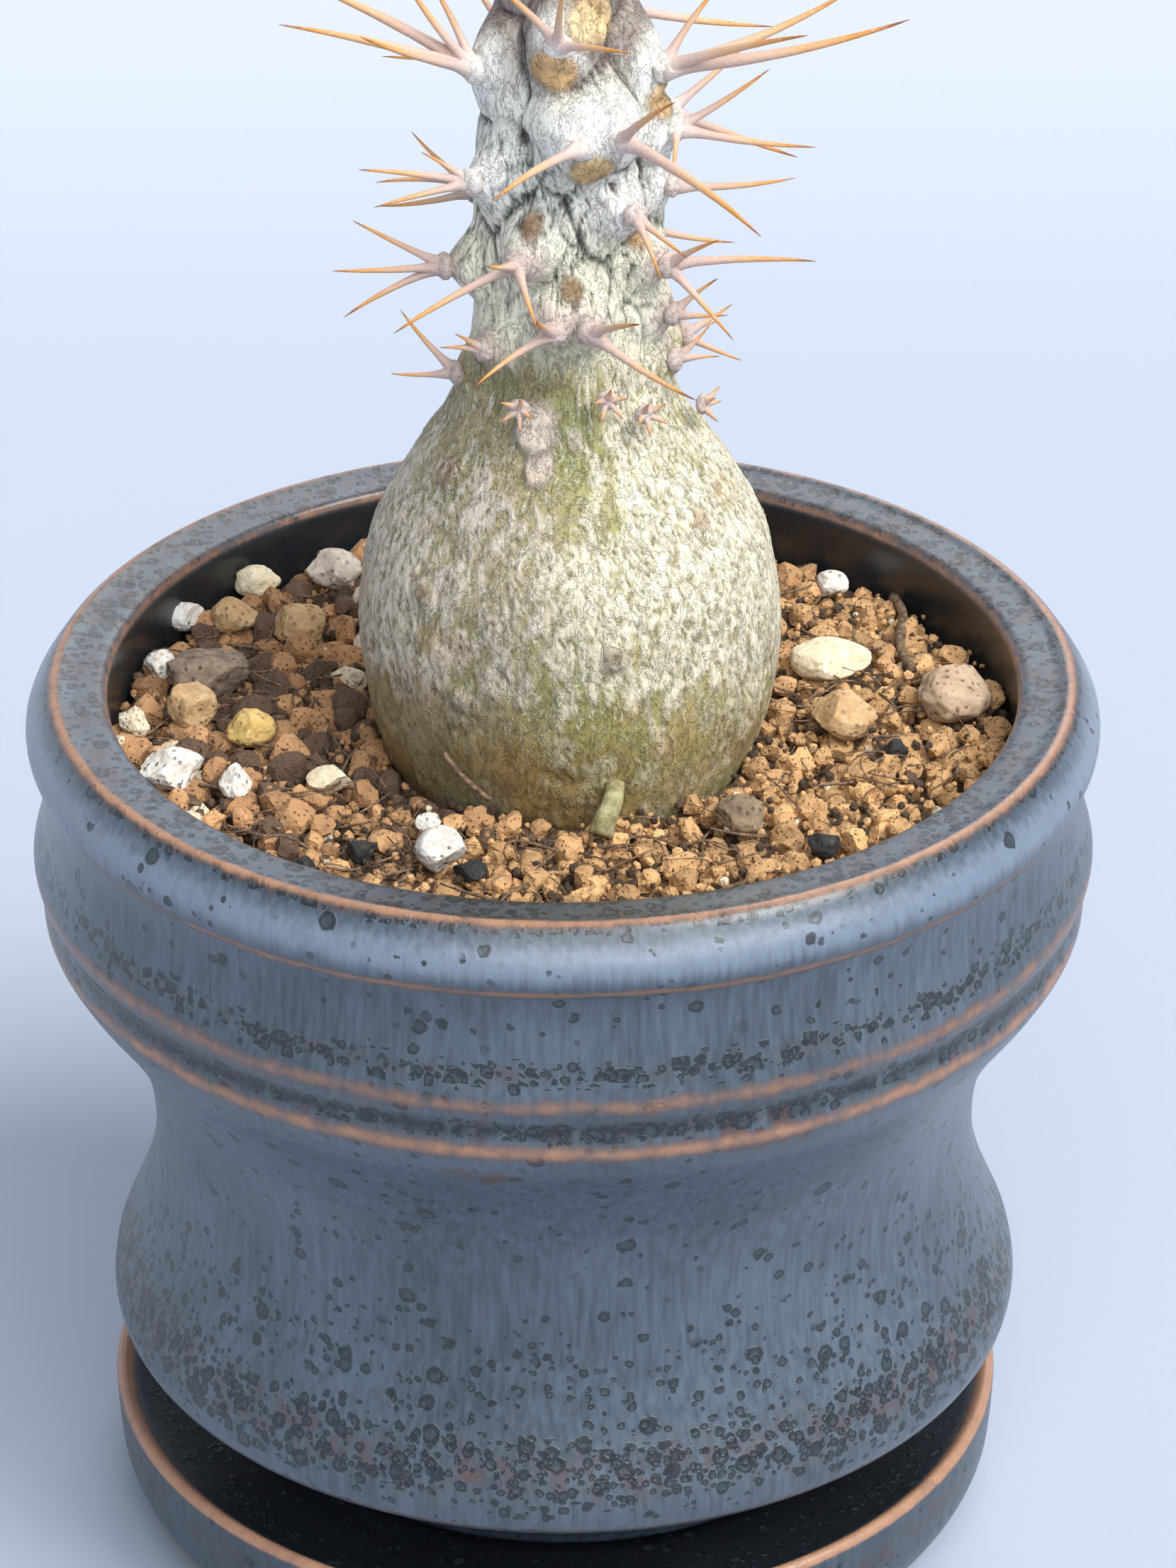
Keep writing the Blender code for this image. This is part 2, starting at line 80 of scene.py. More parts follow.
def ring_surface(name, points, joined=False, attributes=None):
    """Object from grids of points, rows by columns, whose columns close into rings.

    Rows run from the top down the outside and columns run anticlockwise, so faces point out.
    Joined links the last row to the first; otherwise a fan of triangles closes each end row
    about its mean point. Several such grids may be stacked along a leading axis. Attributes are
    one value, or one colour, for each point of the grids.
    """
    grids = points if points.ndim == 4 else points[None]
    pieces, rows, columns = grids.shape[:3]
    index = np.arange(pieces * rows * columns).reshape(pieces, rows, columns)
    ring = np.roll(index, -1, axis=2)
    below = np.roll(index, -1, axis=1)
    quads = np.stack([index, below, np.roll(ring, -1, axis=1), ring], -1)
    vertices = grids.reshape(-1, 3)
    if joined:
        faces = quads.reshape(-1, 4).tolist()
    else:
        faces = quads[:, :-1].reshape(-1, 4).tolist()
        top = np.repeat(len(vertices) + np.arange(pieces)[:, None], columns, 1)
        faces += np.stack([top, index[:, 0], ring[:, 0]], -1).reshape(-1, 3).tolist()
        low_fan = np.stack([top + pieces, ring[:, -1], index[:, -1]], -1)
        faces += low_fan.reshape(-1, 3).tolist()
        vertices = with_ends(vertices, grids)
    stored = {}
    for key, values in (attributes or {}).items():
        values = values.reshape(pieces, rows, columns, -1)
        flat = values.reshape(pieces * rows * columns, -1)
        stored[key] = flat if joined else with_ends(flat, values)
    return build(name, vertices, faces, stored)


def with_ends(flat, grids):
    """A flat list of grid values, then the mean of each grid's first row, then of its last."""
    return np.vstack([flat, grids[:, 0].mean(1), grids[:, -1].mean(1)])


def build(name, vertices, faces, attributes=None, smooth=True):
    """Object from vertices and faces, with attributes of one value or colour for each vertex."""
    mesh = bpy.data.meshes.new(name)
    mesh.from_pydata(vertices.tolist(), [], faces)
    for key, flat in (attributes or {}).items():
        if flat.shape[1] == 1:
            layer, field = mesh.attributes.new(key, "FLOAT", "POINT"), "value"
        else:
            layer, field = mesh.attributes.new(key, "FLOAT_COLOR", "POINT"), "color"
            flat = np.hstack([flat, np.ones((len(flat), 1))])
        layer.data.foreach_set(field, flat.astype(np.float32).ravel())
    if smooth:
        mesh.shade_smooth()
    return link(name, mesh)


def link(name, data):
    """Put a mesh, a lamp or a camera in the scene at the origin."""
    made = bpy.data.objects.new(name, data)
    bpy.context.scene.collection.objects.link(made)
    return made


def around(count):
    """Angles at even spacing round a full turn."""
    return np.linspace(0, 2 * np.pi, count, endpoint=False)


def unit(vectors):
    """Vectors brought to length one."""
    return vectors / np.linalg.norm(vectors, axis=-1, keepdims=True)


def turn(outline, columns):
    """Grid of points of a turned form: each (radius, height) goes round the Z axis."""
    angle = around(columns)[None, :]
    radius = outline[:, :1]
    return np.stack([radius * np.cos(angle), radius * np.sin(angle),
                     np.repeat(outline[:, 1:], columns, 1)], -1)


def noise(points, size, seed):
    """Smooth noise from -1 to 1 whose waves are about size long, at any array of 3D points.

    A lattice of seeded random values is blended at each point by smoothed weights.
    """
    lattice = np.random.default_rng(seed).uniform(-1, 1, (32, 32, 32))
    cell = points / size
    low = np.floor(cell).astype(int)
    part = cell - low
    part = part * part * (3 - 2 * part)
    total = 0
    for corner in range(8):
        step = np.array([corner & 1, corner >> 1 & 1, corner >> 2 & 1])
        at = (low + step) % 32
        weight = np.prod(np.where(step, part, 1 - part), axis=-1)
        total = total + weight * lattice[at[..., 0], at[..., 1], at[..., 2]]
    return total


def fade(values, start, end):
    """Smooth step: 0 at start, 1 at end, flat at both."""
    share = np.clip((values - start) / (end - start), 0, 1)
    return share * share * (3 - 2 * share)


class Wire:
    """A socket of a material. Arithmetic on it adds Math nodes, and add() any other node."""

    def __init__(self, tree, socket=None):
        self.tree = tree
        self.socket = socket

    def add(self, kind, settings, inputs, output=0):
        """Add a node of this kind: settings first, then a value or link for each socket."""
        node = self.tree.nodes.new("ShaderNode" + kind)
        for key, value in settings.items():
            if key == "stops":
                for stop, (place, colour) in zip(ramp_stops(node, len(value)), value):
                    stop.position = place
                    stop.color = (*colour, 1)
            else:
                setattr(node, key, value)
        for key, value in inputs.items():
            if isinstance(value, Wire):
                self.tree.links.new(value.socket, node.inputs[key])
            else:
                node.inputs[key].default_value = value
        return Wire(self.tree, node.outputs[output])

    def math(self, operation, *values):
        """A Math node on these values."""
        return self.add("Math", {"operation": operation}, dict(enumerate(values)))

    def __add__(self, other):
        return self.math("ADD", self, other)

    __radd__ = __add__

    def __mul__(self, other):
        return self.math("MULTIPLY", self, other)

    __rmul__ = __mul__

    def __sub__(self, other):
        return self.math("SUBTRACT", self, other)

    def __rsub__(self, other):
        return self.math("SUBTRACT", other, self)

    def clear(self, start, end):
        """Smooth step of this value: 0 at start and 1 at end."""
        return self.add("MapRange", {"interpolation_type": "SMOOTHSTEP"},
                        {0: self, 1: start, 2: end, 3: 0.0, 4: 1.0})

    def near(self, centre, width):
        """1 where this value is centre, falling smoothly to 0 at width from it."""
        return self.math("ABSOLUTE", self - centre).clear(width, 0.0)

    def parts(self):
        """The three numbers of this vector."""
        split = self.add("SeparateXYZ", {}, {0: self})
        node = split.socket.node
        return [Wire(self.tree, node.outputs[k]) for k in range(3)]

    def vector(self, x, y, z):
        """A vector of three values."""
        return self.add("CombineXYZ", {}, {0: x, 1: y, 2: z})

    def length(self):
        """The length of this vector."""
        return self.add("VectorMath", {"operation": "LENGTH"}, {0: self}, "Value")

    def noise(self, place, size, detail=2.0, rough=0.5, warp=0.0):
        """Noise from 0 to 1 with waves of about size metres."""
        return self.add("TexNoise", {}, {"Vector": place, "Scale": 1 / size, "Detail": detail,
                                         "Roughness": rough, "Distortion": warp})

    def cells(self, place, size, feature="F1", output="Distance"):
        """Voronoi cells of about size metres: a distance, or each cell's own random colour."""
        return self.add("TexVoronoi", {"feature": feature},
                        {"Vector": place, "Scale": 1 / size}, output)

    def read(self, key, output="Fac"):
        """An attribute of the mesh: Fac for a value, Color for a colour."""
        return self.add("Attribute", {"attribute_name": key}, {}, output)

    def blend(self, first, second, share, mode="MIX"):
        """A Mix node on two colours."""
        return self.add("Mix", {"data_type": "RGBA", "blend_type": mode},
                        {0: share, 6: first, 7: second}, 2)

    def layers(self, colour, *coats):
        """Colours laid over a first one in turn, each with the share it covers."""
        for coat, share in coats:
            colour = self.blend(colour, coat, share)
        return colour


def ramp_stops(node, count):
    """The stops of a new colour ramp, raised to a count."""
    stops = node.color_ramp.elements
    while len(stops) < count:
        stops.new(0.5)
    return stops


def rgb(red, green, blue):
    """A colour as a socket wants it."""
    return (red, green, blue, 1.0)


def finish(name, colour_of, coat=0.0, **fixed):
    """A material: colour_of(wire, place) gives its base colour, roughness and height in metres.

    Fixed values go on the shader's own sockets.
    """
    made = bpy.data.materials.new(name)
    made.use_nodes = True
    tree = made.node_tree
    shader = tree.nodes["Principled BSDF"]
    start = Wire(tree)
    place = start.add("TexCoord", {}, {}, "Object")
    colour, roughness, height = colour_of(start, place)
    bump = start.add("Bump", {}, {"Height": height, "Strength": 1.0, "Distance": 1.0}, "Normal")
    for key, value in (("Base Color", colour), ("Roughness", roughness), ("Normal", bump)):
        if isinstance(value, Wire):
            tree.links.new(value.socket, shader.inputs[key])
        else:
            shader.inputs[key].default_value = value
    shader.inputs["Coat Weight"].default_value = coat
    for key, value in fixed.items():
        shader.inputs[key.replace("_", " ")].default_value = value
    return made


def settle(piece, slot, material, *nodes):
    """Give a finished piece its material and body, and hide the solids it stands for. The slot is not
    used.
    """
    piece.data.materials.append(material)
    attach(piece, "root")
    if nodes:
        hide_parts(*nodes)


SLATE = rgb(0.043, 0.066, 0.090)
SLATE_PALE = rgb(0.112, 0.154, 0.198)
SLATE_DEEP = rgb(0.016, 0.024, 0.034)
# Painted highlight: the lighter blue sheen laid on the pot's bead.
PAINTED_SHEEN_BLUE = rgb(0.175, 0.220, 0.295)
# Near black, for dark crystals and for painted shade.
CRYSTAL_AND_SHADE_BLACK = rgb(0.005, 0.007, 0.010)
CRYSTAL_HEART = rgb(0.034, 0.050, 0.060)
IRON = rgb(0.085, 0.048, 0.042)
COPPER = rgb(0.400, 0.215, 0.130)
COPPER_DARK = rgb(0.115, 0.058, 0.040)
# Crystals come in these sizes of cell, each with its share of the cells that could hold one.
CRYSTAL_SIZES = ((0.0022, 1.0), (0.0014, 1.0), (0.0009, 0.8))
CRYSTAL_RAISED = 0.00005


def glaze(wire, place, bare, dark, crowd, band, pale=0.0):
    """Slate glaze with pooled crystals.

    Bare is where the body shows copper, dark is how far it is laid near black: painted shade in the
    saucer's well and inside the pot, dark crystals in the groove and a darker rim top. Crowd is the
    share of cells that hold a crystal, band is how far iron has bled into the glaze, and pale is a
    painted highlight, a lighter blue sheen.
    """
    x, y, z = place.parts()
    streaks = wire.noise(wire.vector(x, y, z * 0.10), 0.0007, 3, 0.6)
    cloud = wire.noise(place, 0.018, 3, 0.55)
    mottle = wire.noise(place, 0.0022, 3, 0.6)
    key = (cloud * 0.6 + streaks * 0.85 - 0.20).clear(0.1, 0.95)
    colour = wire.layers(SLATE, (wire.blend(SLATE_DEEP, SLATE_PALE, key), 0.75),
                         (PAINTED_SHEEN_BLUE, (pale * (0.4 + streaks)).clear(0.0, 1.0) * 0.9),
                         (IRON, band * mottle.clear(0.38, 0.72)),
                         (CRYSTAL_AND_SHADE_BLACK, dark))
    heights = streaks * 0.00005 + mottle * 0.00007
    swirl = wire.add("TexNoise", {}, {"Vector": place, "Scale": 1200.0}, "Color")
    drift = wire.add("VectorMath", {"operation": "MULTIPLY_ADD"},
                     {0: swirl, 1: (0.0006,) * 3, 2: place})
    for size, share in CRYSTAL_SIZES:
        distance = wire.cells(drift, size)
        pick, width, _ = wire.cells(drift, size, output="Color").parts()
        there = (crowd * share - pick).clear(0.0, 0.04)
        reach = 0.25 + width * 0.26
        inside = (reach - distance).clear(-0.02, 0.05) * there
        heart = (reach * 0.62 - distance).clear(-0.04, 0.10) * there
        colour = wire.layers(colour, (CRYSTAL_AND_SHADE_BLACK, inside * 0.85), (CRYSTAL_HEART, heart * 0.80))
        heights = heights + (inside - heart) * CRYSTAL_RAISED
    patch = wire.noise(place, 0.009, 3, 0.6)
    worn = (bare * (0.20 + mottle * 0.8 + patch * 0.8)).clear(0.38, 1.0)
    copper = wire.blend(COPPER_DARK, COPPER, (bare * 0.9 + mottle * 0.6 - 0.55).clear(0.1, 0.9))
    colour = wire.blend(colour, copper, worn)
    rough = 0.34 + mottle * 0.12 + worn * 0.06 + streaks * 0.06
    return colour, rough, heights


low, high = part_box("saucer")
SAUCER_X = (low.x + high.x) / 2
# From the well over the rim to the base, as (radius, height) in millimetres.
SAUCER_OUTLINE = [(38.6, 11.5), (40.5, 11.7), (43.4, 12.5), (45.6, 13.5), (46.4, 14.2),
                  (47.0, 14.6), (47.5, 14.5), (47.9, 13.9), (47.9, 12.6), (47.7, 9.0),
                  (47.3, 6.4), (46.0, 3.8), (44.0, 1.8), (42.7, 0.7), (41.6, 0.1), (40.6, 0.0)]
SAUCER_RIM = 0.0144
WELL_RADIUS = 0.0450


def saucer_glaze(wire, place):
    """Saucer glaze: copper on the rim's crest, and painted shade that is near black in the well."""
    x, y, z = place.parts()
    across = wire.vector(x - SAUCER_X, y, 0.0).length()
    crest = z.clear(SAUCER_RIM - 0.0011, SAUCER_RIM - 0.0003)
    well = across.clear(WELL_RADIUS + 0.0012, WELL_RADIUS)
    ring = across.near(WELL_RADIUS - 0.0025, 0.0026)
    # Painted shade: the well under the pot is near black, and the rest below the crest a little
    # darker.
    dark = well * 0.60 + (1 - crest) * 0.32
    crowd = 0.10 + well * 0.15 + ring * 0.5
    iron = z.near(SAUCER_RIM - 0.0039, 0.0035) * 0.8
    return glaze(wire, place, crest * 1.1, dark, crowd, iron)


outline = smooth_curve(SAUCER_OUTLINE, 0.25) * MM
floor_rings = np.stack([np.linspace(0.002, 0.038, 16), np.full(16, outline[0, 1])], 1)
base_rings = np.stack([np.linspace(0.040, 0.002, 10), np.zeros(10)], 1)
points = turn(np.vstack([floor_rings, outline, base_rings]), 240)
points[..., 0] += SAUCER_X
settle(ring_surface("saucer_shell", points), "glaze",
       finish("saucer_glaze", saucer_glaze, 0.2, Coat_Roughness=0.24), "saucer")

# ---------------------------------------------------------------------------------------------
# Pot: thrown on the wheel with a rolled rim, two ridges, a waist and a low bulge, then glazed
# inside and out. It stands on its foot ring in the saucer's well, and the floor has a drain hole.

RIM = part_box("pot")[1].z
# From the lip down the outside, under the foot and up the inside, as (radius, height) in mm.
POT_OUTSIDE = [(46.75, 97.0), (47.2, 97.45), (48.6, 97.62), (50.6, 97.78), (51.6, 98.0),
               (52.2, 97.95), (52.9, 97.35), (53.6, 96.3), (54.5, 95.0), (55.0, 93.9),
               (55.1, 93.1), (54.95, 92.2), (54.5, 91.4), (54.0, 90.6), (53.8, 89.6),
               (53.65, 87.8), (53.7, 85.6), (53.9, 83.6), (54.25, 81.6), (54.75, 79.9),
               (54.9, 78.9), (54.6, 77.6), (54.0, 76.4), (53.8, 75.4), (53.95, 74.3),
               (54.15, 73.3), (53.95, 72.3), (53.3, 70.9), (52.2, 69.0), (50.7, 67.0),
               (49.3, 65.0), (46.9, 61.0), (45.1, 57.0), (44.0, 53.0), (43.5, 48.5),
               (43.6, 44.0), (44.2, 40.0), (45.4, 36.0), (47.0, 32.0), (48.1, 29.4),
               (48.6, 27.2), (48.5, 25.6), (47.9, 24.2), (46.6, 23.0), (43.0, 20.5),
               (39.0, 17.8), (35.4, 14.9), (33.7, 13.4), (33.5, 12.4), (33.2, 11.9)]
POT_UNDER = [(31.5, 11.8), (29.8, 11.9), (29.5, 12.6), (29.4, 14.2), (28.6, 14.8), (8.0, 14.8),
             (6.3, 15.0), (6.0, 15.8), (6.0, 17.8), (6.4, 18.6), (8.0, 18.8)]
POT_INSIDE = [(30.0, 18.8), (35.0, 19.8), (41.0, 22.8), (43.3, 28.0), (42.9, 32.0), (41.0, 37.0),
              (39.5, 43.0), (39.3, 48.0), (39.7, 53.0), (41.6, 59.0), (44.4, 64.8),
              (46.0, 69.0), (46.5, 74.0), (46.6, 84.0), (46.6, 92.0), (46.6, 95.8),
              (46.62, 96.5)]
POT_COLUMNS = 256
# Edges that were wiped through to the body, as (height, half width, wear).
POT_EDGES = ((0.0913, 0.0014, 0.92), (0.0789, 0.0026, 0.78), (0.0732, 0.0023, 0.88),
             (0.0243, 0.0009, 0.65))
# Height of the rim's flat top, and the radii of its outer crest and its inner lip.
RIM_TOP, RIM_CREST, LIP = 0.0970, 0.0521, 0.0467
# Heights of the groove between the ridges and of the bands where crystals crowd.
GROOVE, SPECKLE_BAND, DRIP_BAND = 0.0757, 0.0822, 0.0305
# Throwing rings sink this far into the wall, and stand proud of it by less, inside the solid's box.
RING_DEPTH, RING_PROUD = 0.00012, 0.00003


def pot_glaze(wire, place):
    """Pot glaze: copper where an edge was wiped, crystals where the glaze ran thick, painted shade
    inside the pot and a painted sheen on the bead.
    """
    x, y, z = place.parts()
    across = wire.vector(x, y, 0.0).length()
    inner = wire.read("inner")
    outer = 1 - inner
    height = z + (wire.noise(place, 0.012, 2, 0.5) * 0.0010 - 0.0005)
    crest = across.near(RIM_CREST, 0.0013) * z.clear(RIM_TOP - 0.0015, RIM_TOP) * 1.25
    lip = across.near(LIP, 0.0019) * z.clear(RIM_TOP - 0.0030, RIM_TOP - 0.0008) * 0.85
    edges = sum(height.near(at, reach) * wear for at, reach, wear in POT_EDGES)
    bare = crest + lip + edges * outer
    rim_top = z.clear(RIM_TOP - 0.0002, RIM_TOP + 0.0004)
    groove = z.near(GROOVE, 0.0016)
    speckle = height.near(SPECKLE_BAND, 0.0020)
    drips = height.near(DRIP_BAND, 0.0052)
    crowd = (0.08 + rim_top * 0.55 + groove * 1.5 + speckle * 1.10 + drips * 1.40
             + z.near(DRIP_BAND + 0.0085, 0.0110) * 0.26)
    chain = wire.noise(wire.vector(x, y, z * 0.4), 0.0030, 2, 0.6).clear(0.36, 0.50)
    # Painted shade: the inner wall under the rim is laid near black.
    shade_inside_pot = inner * z.clear(RIM_TOP, RIM_TOP - 0.0010)
    dark = shade_inside_pot * 0.93 + groove * chain * 0.85 + rim_top * 0.22
    front = y.clear(0.0, -0.02)
    smear = x.near(-0.0080, 0.0060) * z.near(0.0690, 0.0022) * front
    stain = x.near(0.0200, 0.0100) * z.near(0.0735, 0.0040) * front
    iron = (smear * 1.6 + stain * 1.5 + rim_top * 0.60 + speckle * 0.45 + drips * 0.85
            + height.near(GROOVE + 0.0003, 0.0060) * 0.60)
    # Painted highlight: a lighter blue sheen on the bead, where the light from above shines.
    pale = height.near(0.0945, 0.0032) * outer
    return glaze(wire, place, bare * (1 - dark * 0.9), dark, crowd * outer, iron, pale)


outside = smooth_curve(POT_OUTSIDE, 0.45) * MM
under = smooth_curve(POT_UNDER, 1.5) * MM
inside = smooth_curve(POT_INSIDE, 1.5) * MM
outline = np.vstack([outside, under, inside])
points = turn(outline, POT_COLUMNS)
is_inner = np.arange(len(outline)) >= len(outside) + len(under)
rings = RING_DEPTH * noise(points * [6, 6, 260], 1.0, 4) * (outline[:, :1] > 0.04)
points[..., :2] += unit(points[..., :2]) * np.minimum(rings, RING_PROUD)[..., None]
pot = ring_surface("pot_body", points, joined=True,
                   attributes={"inner": np.repeat(is_inner[:, None], POT_COLUMNS, 1)})
settle(pot, "glaze", finish("pot_glaze", pot_glaze, 0.45, Coat_Roughness=0.26), "pot")

# ---------------------------------------------------------------------------------------------
# Drain net: a square of black plastic mesh laid over the hole in the pot's floor, under the mix.


def net_plastic(wire, place):
    """Black plastic with a faint moulding grain and dust."""
    dust = wire.noise(place, 0.0015, 4, 0.6)
    colour = wire.blend(rgb(0.012, 0.012, 0.013), rgb(0.060, 0.050, 0.042), dust.clear(0.45, 0.8))
    return colour, 0.5 + dust * 0.3, dust * 0.00004


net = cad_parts["drain_net"]
net.data.materials.clear()
net.data.materials.append(finish("net_plastic_look", net_plastic))

# ---------------------------------------------------------------------------------------------
# Potting mix: dark moist humus fills the pot to 8 mm under the rim, with a hollow that fits the
# root. The granules laid on it are the next section.

PLANT_X = 0.0006  # the plant stands this far to the right of the pot's axis
# The plant from its tip to its root, as (radius, height over the rim) in millimetres.
BODY_OUTLINE = [(0.0, 86.0), (3.2, 84.8), (5.0, 80.5), (6.2, 75.0), (7.8, 69.0), (8.8, 62.0),
                (9.5, 54.0), (9.5, 45.0), (9.5, 38.0), (10.3, 33.5), (12.3, 28.9), (15.0, 24.8),
                (18.0, 19.8), (20.2, 14.8), (21.3, 7.0), (20.8, -0.5), (18.7, -8.0),
                (14.0, -17.0), (7.5, -25.0), (0.0, -30.0)]
SOIL_TOP = RIM - 0.008
SOIL_RINGS = 60
ROOT_GAP = 0.0004


def body_radius(above_rim):
    """Radius of the plant's outline at heights above the pot's rim, in metres."""
    radii, heights = np.array(BODY_OUTLINE)[::-1].T * MM
    return np.interp(above_rim, heights, radii)


def grained(dark, pale, size, fray, end, rough, relief):
    """Look of a rough crumbly or fibrous stuff: two tones and a relief that follow one noise."""
    def look(wire, place):
        """Dark in the hollows of the noise, pale on its heights."""
        grain = wire.noise(place, size, 4, fray)
        return wire.blend(rgb(*dark), rgb(*pale), grain.clear(0.3, end)), rough, grain * relief
    return look


HUMUS = grained((0.040, 0.025, 0.016), (0.200, 0.120, 0.065), 0.0016, 0.65, 0.75, 0.95, 0.0008)

# The bed's surface runs up the root's pocket, out over the top, down the wall and in underneath.
pocket = np.array([(r, h) for r, h in BODY_OUTLINE[::-1] if h < -8.5]) * MM
pocket = np.vstack([pocket + [ROOT_GAP, RIM], [(0.0191, SOIL_TOP - ROOT_GAP)]])
top_radii = np.linspace(0.0196, 0.0464, SOIL_RINGS)
top = np.stack([top_radii, np.full(SOIL_RINGS, SOIL_TOP - 0.0012)], 1)
wall = np.array(POT_INSIDE[:-3])[::-1] * MM - [0.0004, -0.0003]
wall = wall[wall[:, 1] < SOIL_TOP - 0.002]
base = np.stack([np.linspace(0.028, 0.0005, 8), np.full(8, 0.0206)], 1)
points = turn(np.vstack([pocket, top, wall, base]), 200)
# The pocket and the rings next to it are centred on the plant, not on the pot.
points[:len(pocket) + 8, :, 0] += PLANT_X
relief = 0.0012 * noise(points, 0.0045, 21) + 0.0005 * noise(points, 0.0016, 22)
upper_side = slice(len(pocket), len(pocket) + SOIL_RINGS)
points[upper_side, :, 2] += relief[upper_side]
settle(ring_surface("humus_bed", points), "potting_mix", finish("humus", HUMUS), "soil_bed")

# ---------------------------------------------------------------------------------------------
# Grit: fired clay granules of 2.5 to 5 mm in two loose layers, finer and ochre to the right and
# front, coarser and browner to the left and back, with dark humus crumbs sifted between them.


def pebble_shapes(count, level, seed, cuts=7, depth=(0.62, 0.92), rough=0.10):
    """Broken grains as an array of count x points x 3, about unit radius, and their faces.

    A sphere is cut flat by random planes, each of which pulls in all the points beyond it along
    its normal, and is then roughened by noise.
    """
    ball = bmesh.new()
    bmesh.ops.create_icosphere(ball, subdivisions=level, radius=1.0)
    sphere = np.array([vertex.co for vertex in ball.verts])
    faces = np.array([[vertex.index for vertex in face.verts] for face in ball.faces])
    ball.free()
    dice = np.random.default_rng(seed)
    shapes = np.repeat(sphere[None], count, 0)
    for _ in range(cuts):
        normal = unit(dice.normal(size=(count, 1, 3)))
        beyond = (shapes * normal).sum(-1, keepdims=True)
        beyond = beyond - dice.uniform(*depth, (count, 1, 1))
        shapes = shapes - np.maximum(beyond, 0) * normal
    shift = dice.uniform(0, 30, (count, 1, 3))
    swell = noise(sphere[None] + shift, 0.55, seed) + 0.5 * noise(sphere[None] + shift, 0.25, seed)
    return shapes * (1 + rough * swell[..., None]), faces


def random_turns(count, dice):
    """Random rotation matrices, from random quaternions."""
    w, x, y, z = unit(dice.normal(size=(4, count)).T).T
    rows = [[1 - 2 * (y * y + z * z), 2 * (x * y - w * z), 2 * (x * z + w * y)],
            [2 * (x * y + w * z), 1 - 2 * (x * x + z * z), 2 * (y * z - w * x)],
            [2 * (x * z - w * y), 2 * (y * z + w * x), 1 - 2 * (x * x + y * y)]]
    return np.moveaxis(np.array(rows), 2, 0)


def scatter(name, shapes, faces, centres, sizes, tints, dice):
    """One object of many grains, each turned at random, sized, placed and tinted."""
    turned = np.einsum("nij,npj->npi", random_turns(len(shapes), dice), shapes * sizes[:, None])
    points = turned + centres[:, None]
    count, each = shapes.shape[:2]
    everything = (faces[None] + (np.arange(count) * each)[:, None, None]).reshape(-1, 3)
    return build(name, points.reshape(-1, 3), everything.tolist(),
                 {"tint": np.repeat(tints, each, 0)}, smooth=False)


# Radii on the soil between which grains lie: the plant's base and the pot's inner wall.
BASE_EDGE, POT_EDGE = 0.0186, 0.0466


def spread(count, size, dice, keep_off, lapse):
    """Places (x, y) for grains on the soil, and which of the tries they are.

    A try is kept if it is clear of the plant, the pot, the places to keep off, and the grains
    before it, by lapse times their mean size.
    """
    angle, share = dice.uniform(0, 2 * np.pi, count), np.sqrt(dice.uniform(0.15, 1, count))
    tries = np.stack([np.cos(angle), np.sin(angle)], 1) * (share * 0.0462)[:, None]
    kept = np.zeros((0, 3))
    chosen = []
    for k, (place, width) in enumerate(zip(tries, size)):
        clear = np.hypot(*(place - [PLANT_X, 0])) > BASE_EDGE + width * 0.45
        clear = clear and np.hypot(*place) < POT_EDGE - width * 0.5
        apart = np.hypot(*(kept[:, :2] - place).T) > lapse * (kept[:, 2] + width) / 2
        off = np.hypot(*(keep_off[:, :2] - place).T) > keep_off[:, 2] + width * 0.35
        if clear and apart.all() and off.all():
            kept = np.vstack([kept, [*place, width]])
            chosen.append(k)
    return tries[chosen], np.array(chosen)


def grit(wire, place):
    """Fired clay: each granule its own tint, dusty, with fine pores."""
    tint = wire.read("tint", "Color")
    dust = wire.noise(place, 0.0012, 4, 0.65)
    pores = wire.cells(place, 0.00055)
    colour = wire.blend(tint, rgb(0.60, 0.56, 0.50), dust.clear(0.35, 0.8), "SOFT_LIGHT")
    colour = wire.layers(colour, (rgb(0.10, 0.055, 0.028), dust.clear(0.48, 0.25) * 0.60),
                         (rgb(0.05, 0.028, 0.016), pores.clear(0.34, 0.12) * 0.60))
    return colour, 0.93, dust * 0.00050 - pores.clear(0.32, 0.08) * 0.00015


STONE_NODES = ["pumice_white", "pumice_small", "kanuma_lump", "cream_chip", "bark_chip",
               "grey_stone_back", "speckled_stone", "charcoal_left", "charcoal_right",
               "cream_stone", "tan_stone", "beige_stone", "dark_speckled_stone",
               "white_stone_back"]
stone_spots = []
for node in STONE_NODES:
    low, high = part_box(node)
    middle = (low + high) / 2
    stone_spots.append((middle.x, middle.y, (high.x - low.x + high.y - low.y) / 4))
stone_spots = np.array(stone_spots)
nothing = np.array([[1.0, 1.0, 0.0]])  # a spot a metre away, which no grain can meet

OCHRE, BROWN = np.array([0.540, 0.322, 0.150]), np.array([0.400, 0.215, 0.105])
PALE_GRAIN, DARK_GRAIN = np.array([0.72, 0.62, 0.46]), np.array([0.105, 0.064, 0.042])
HUMUS_CRUMB = np.array([0.060, 0.040, 0.028])


def grit_tints(places, dice):
    """Tint of each granule: ochre to the right and front, brown to the left and back."""
    right = fade(places[:, 0] * 0.8 - places[:, 1] * 0.6, -0.020, 0.022)[:, None]
    pick = dice.uniform(0, 1, (len(places), 1))
    tints = BROWN + (OCHRE - BROWN) * np.clip(right + 0.5 * (pick - 0.5), 0, 1)
    tints = tints * dice.uniform(0.70, 1.30, (len(places), 1))
    pale, dark = pick > 0.965, pick < 0.02 + 0.36 * (1 - right)
    return np.where(dark, DARK_GRAIN, np.where(pale, PALE_GRAIN, tints))


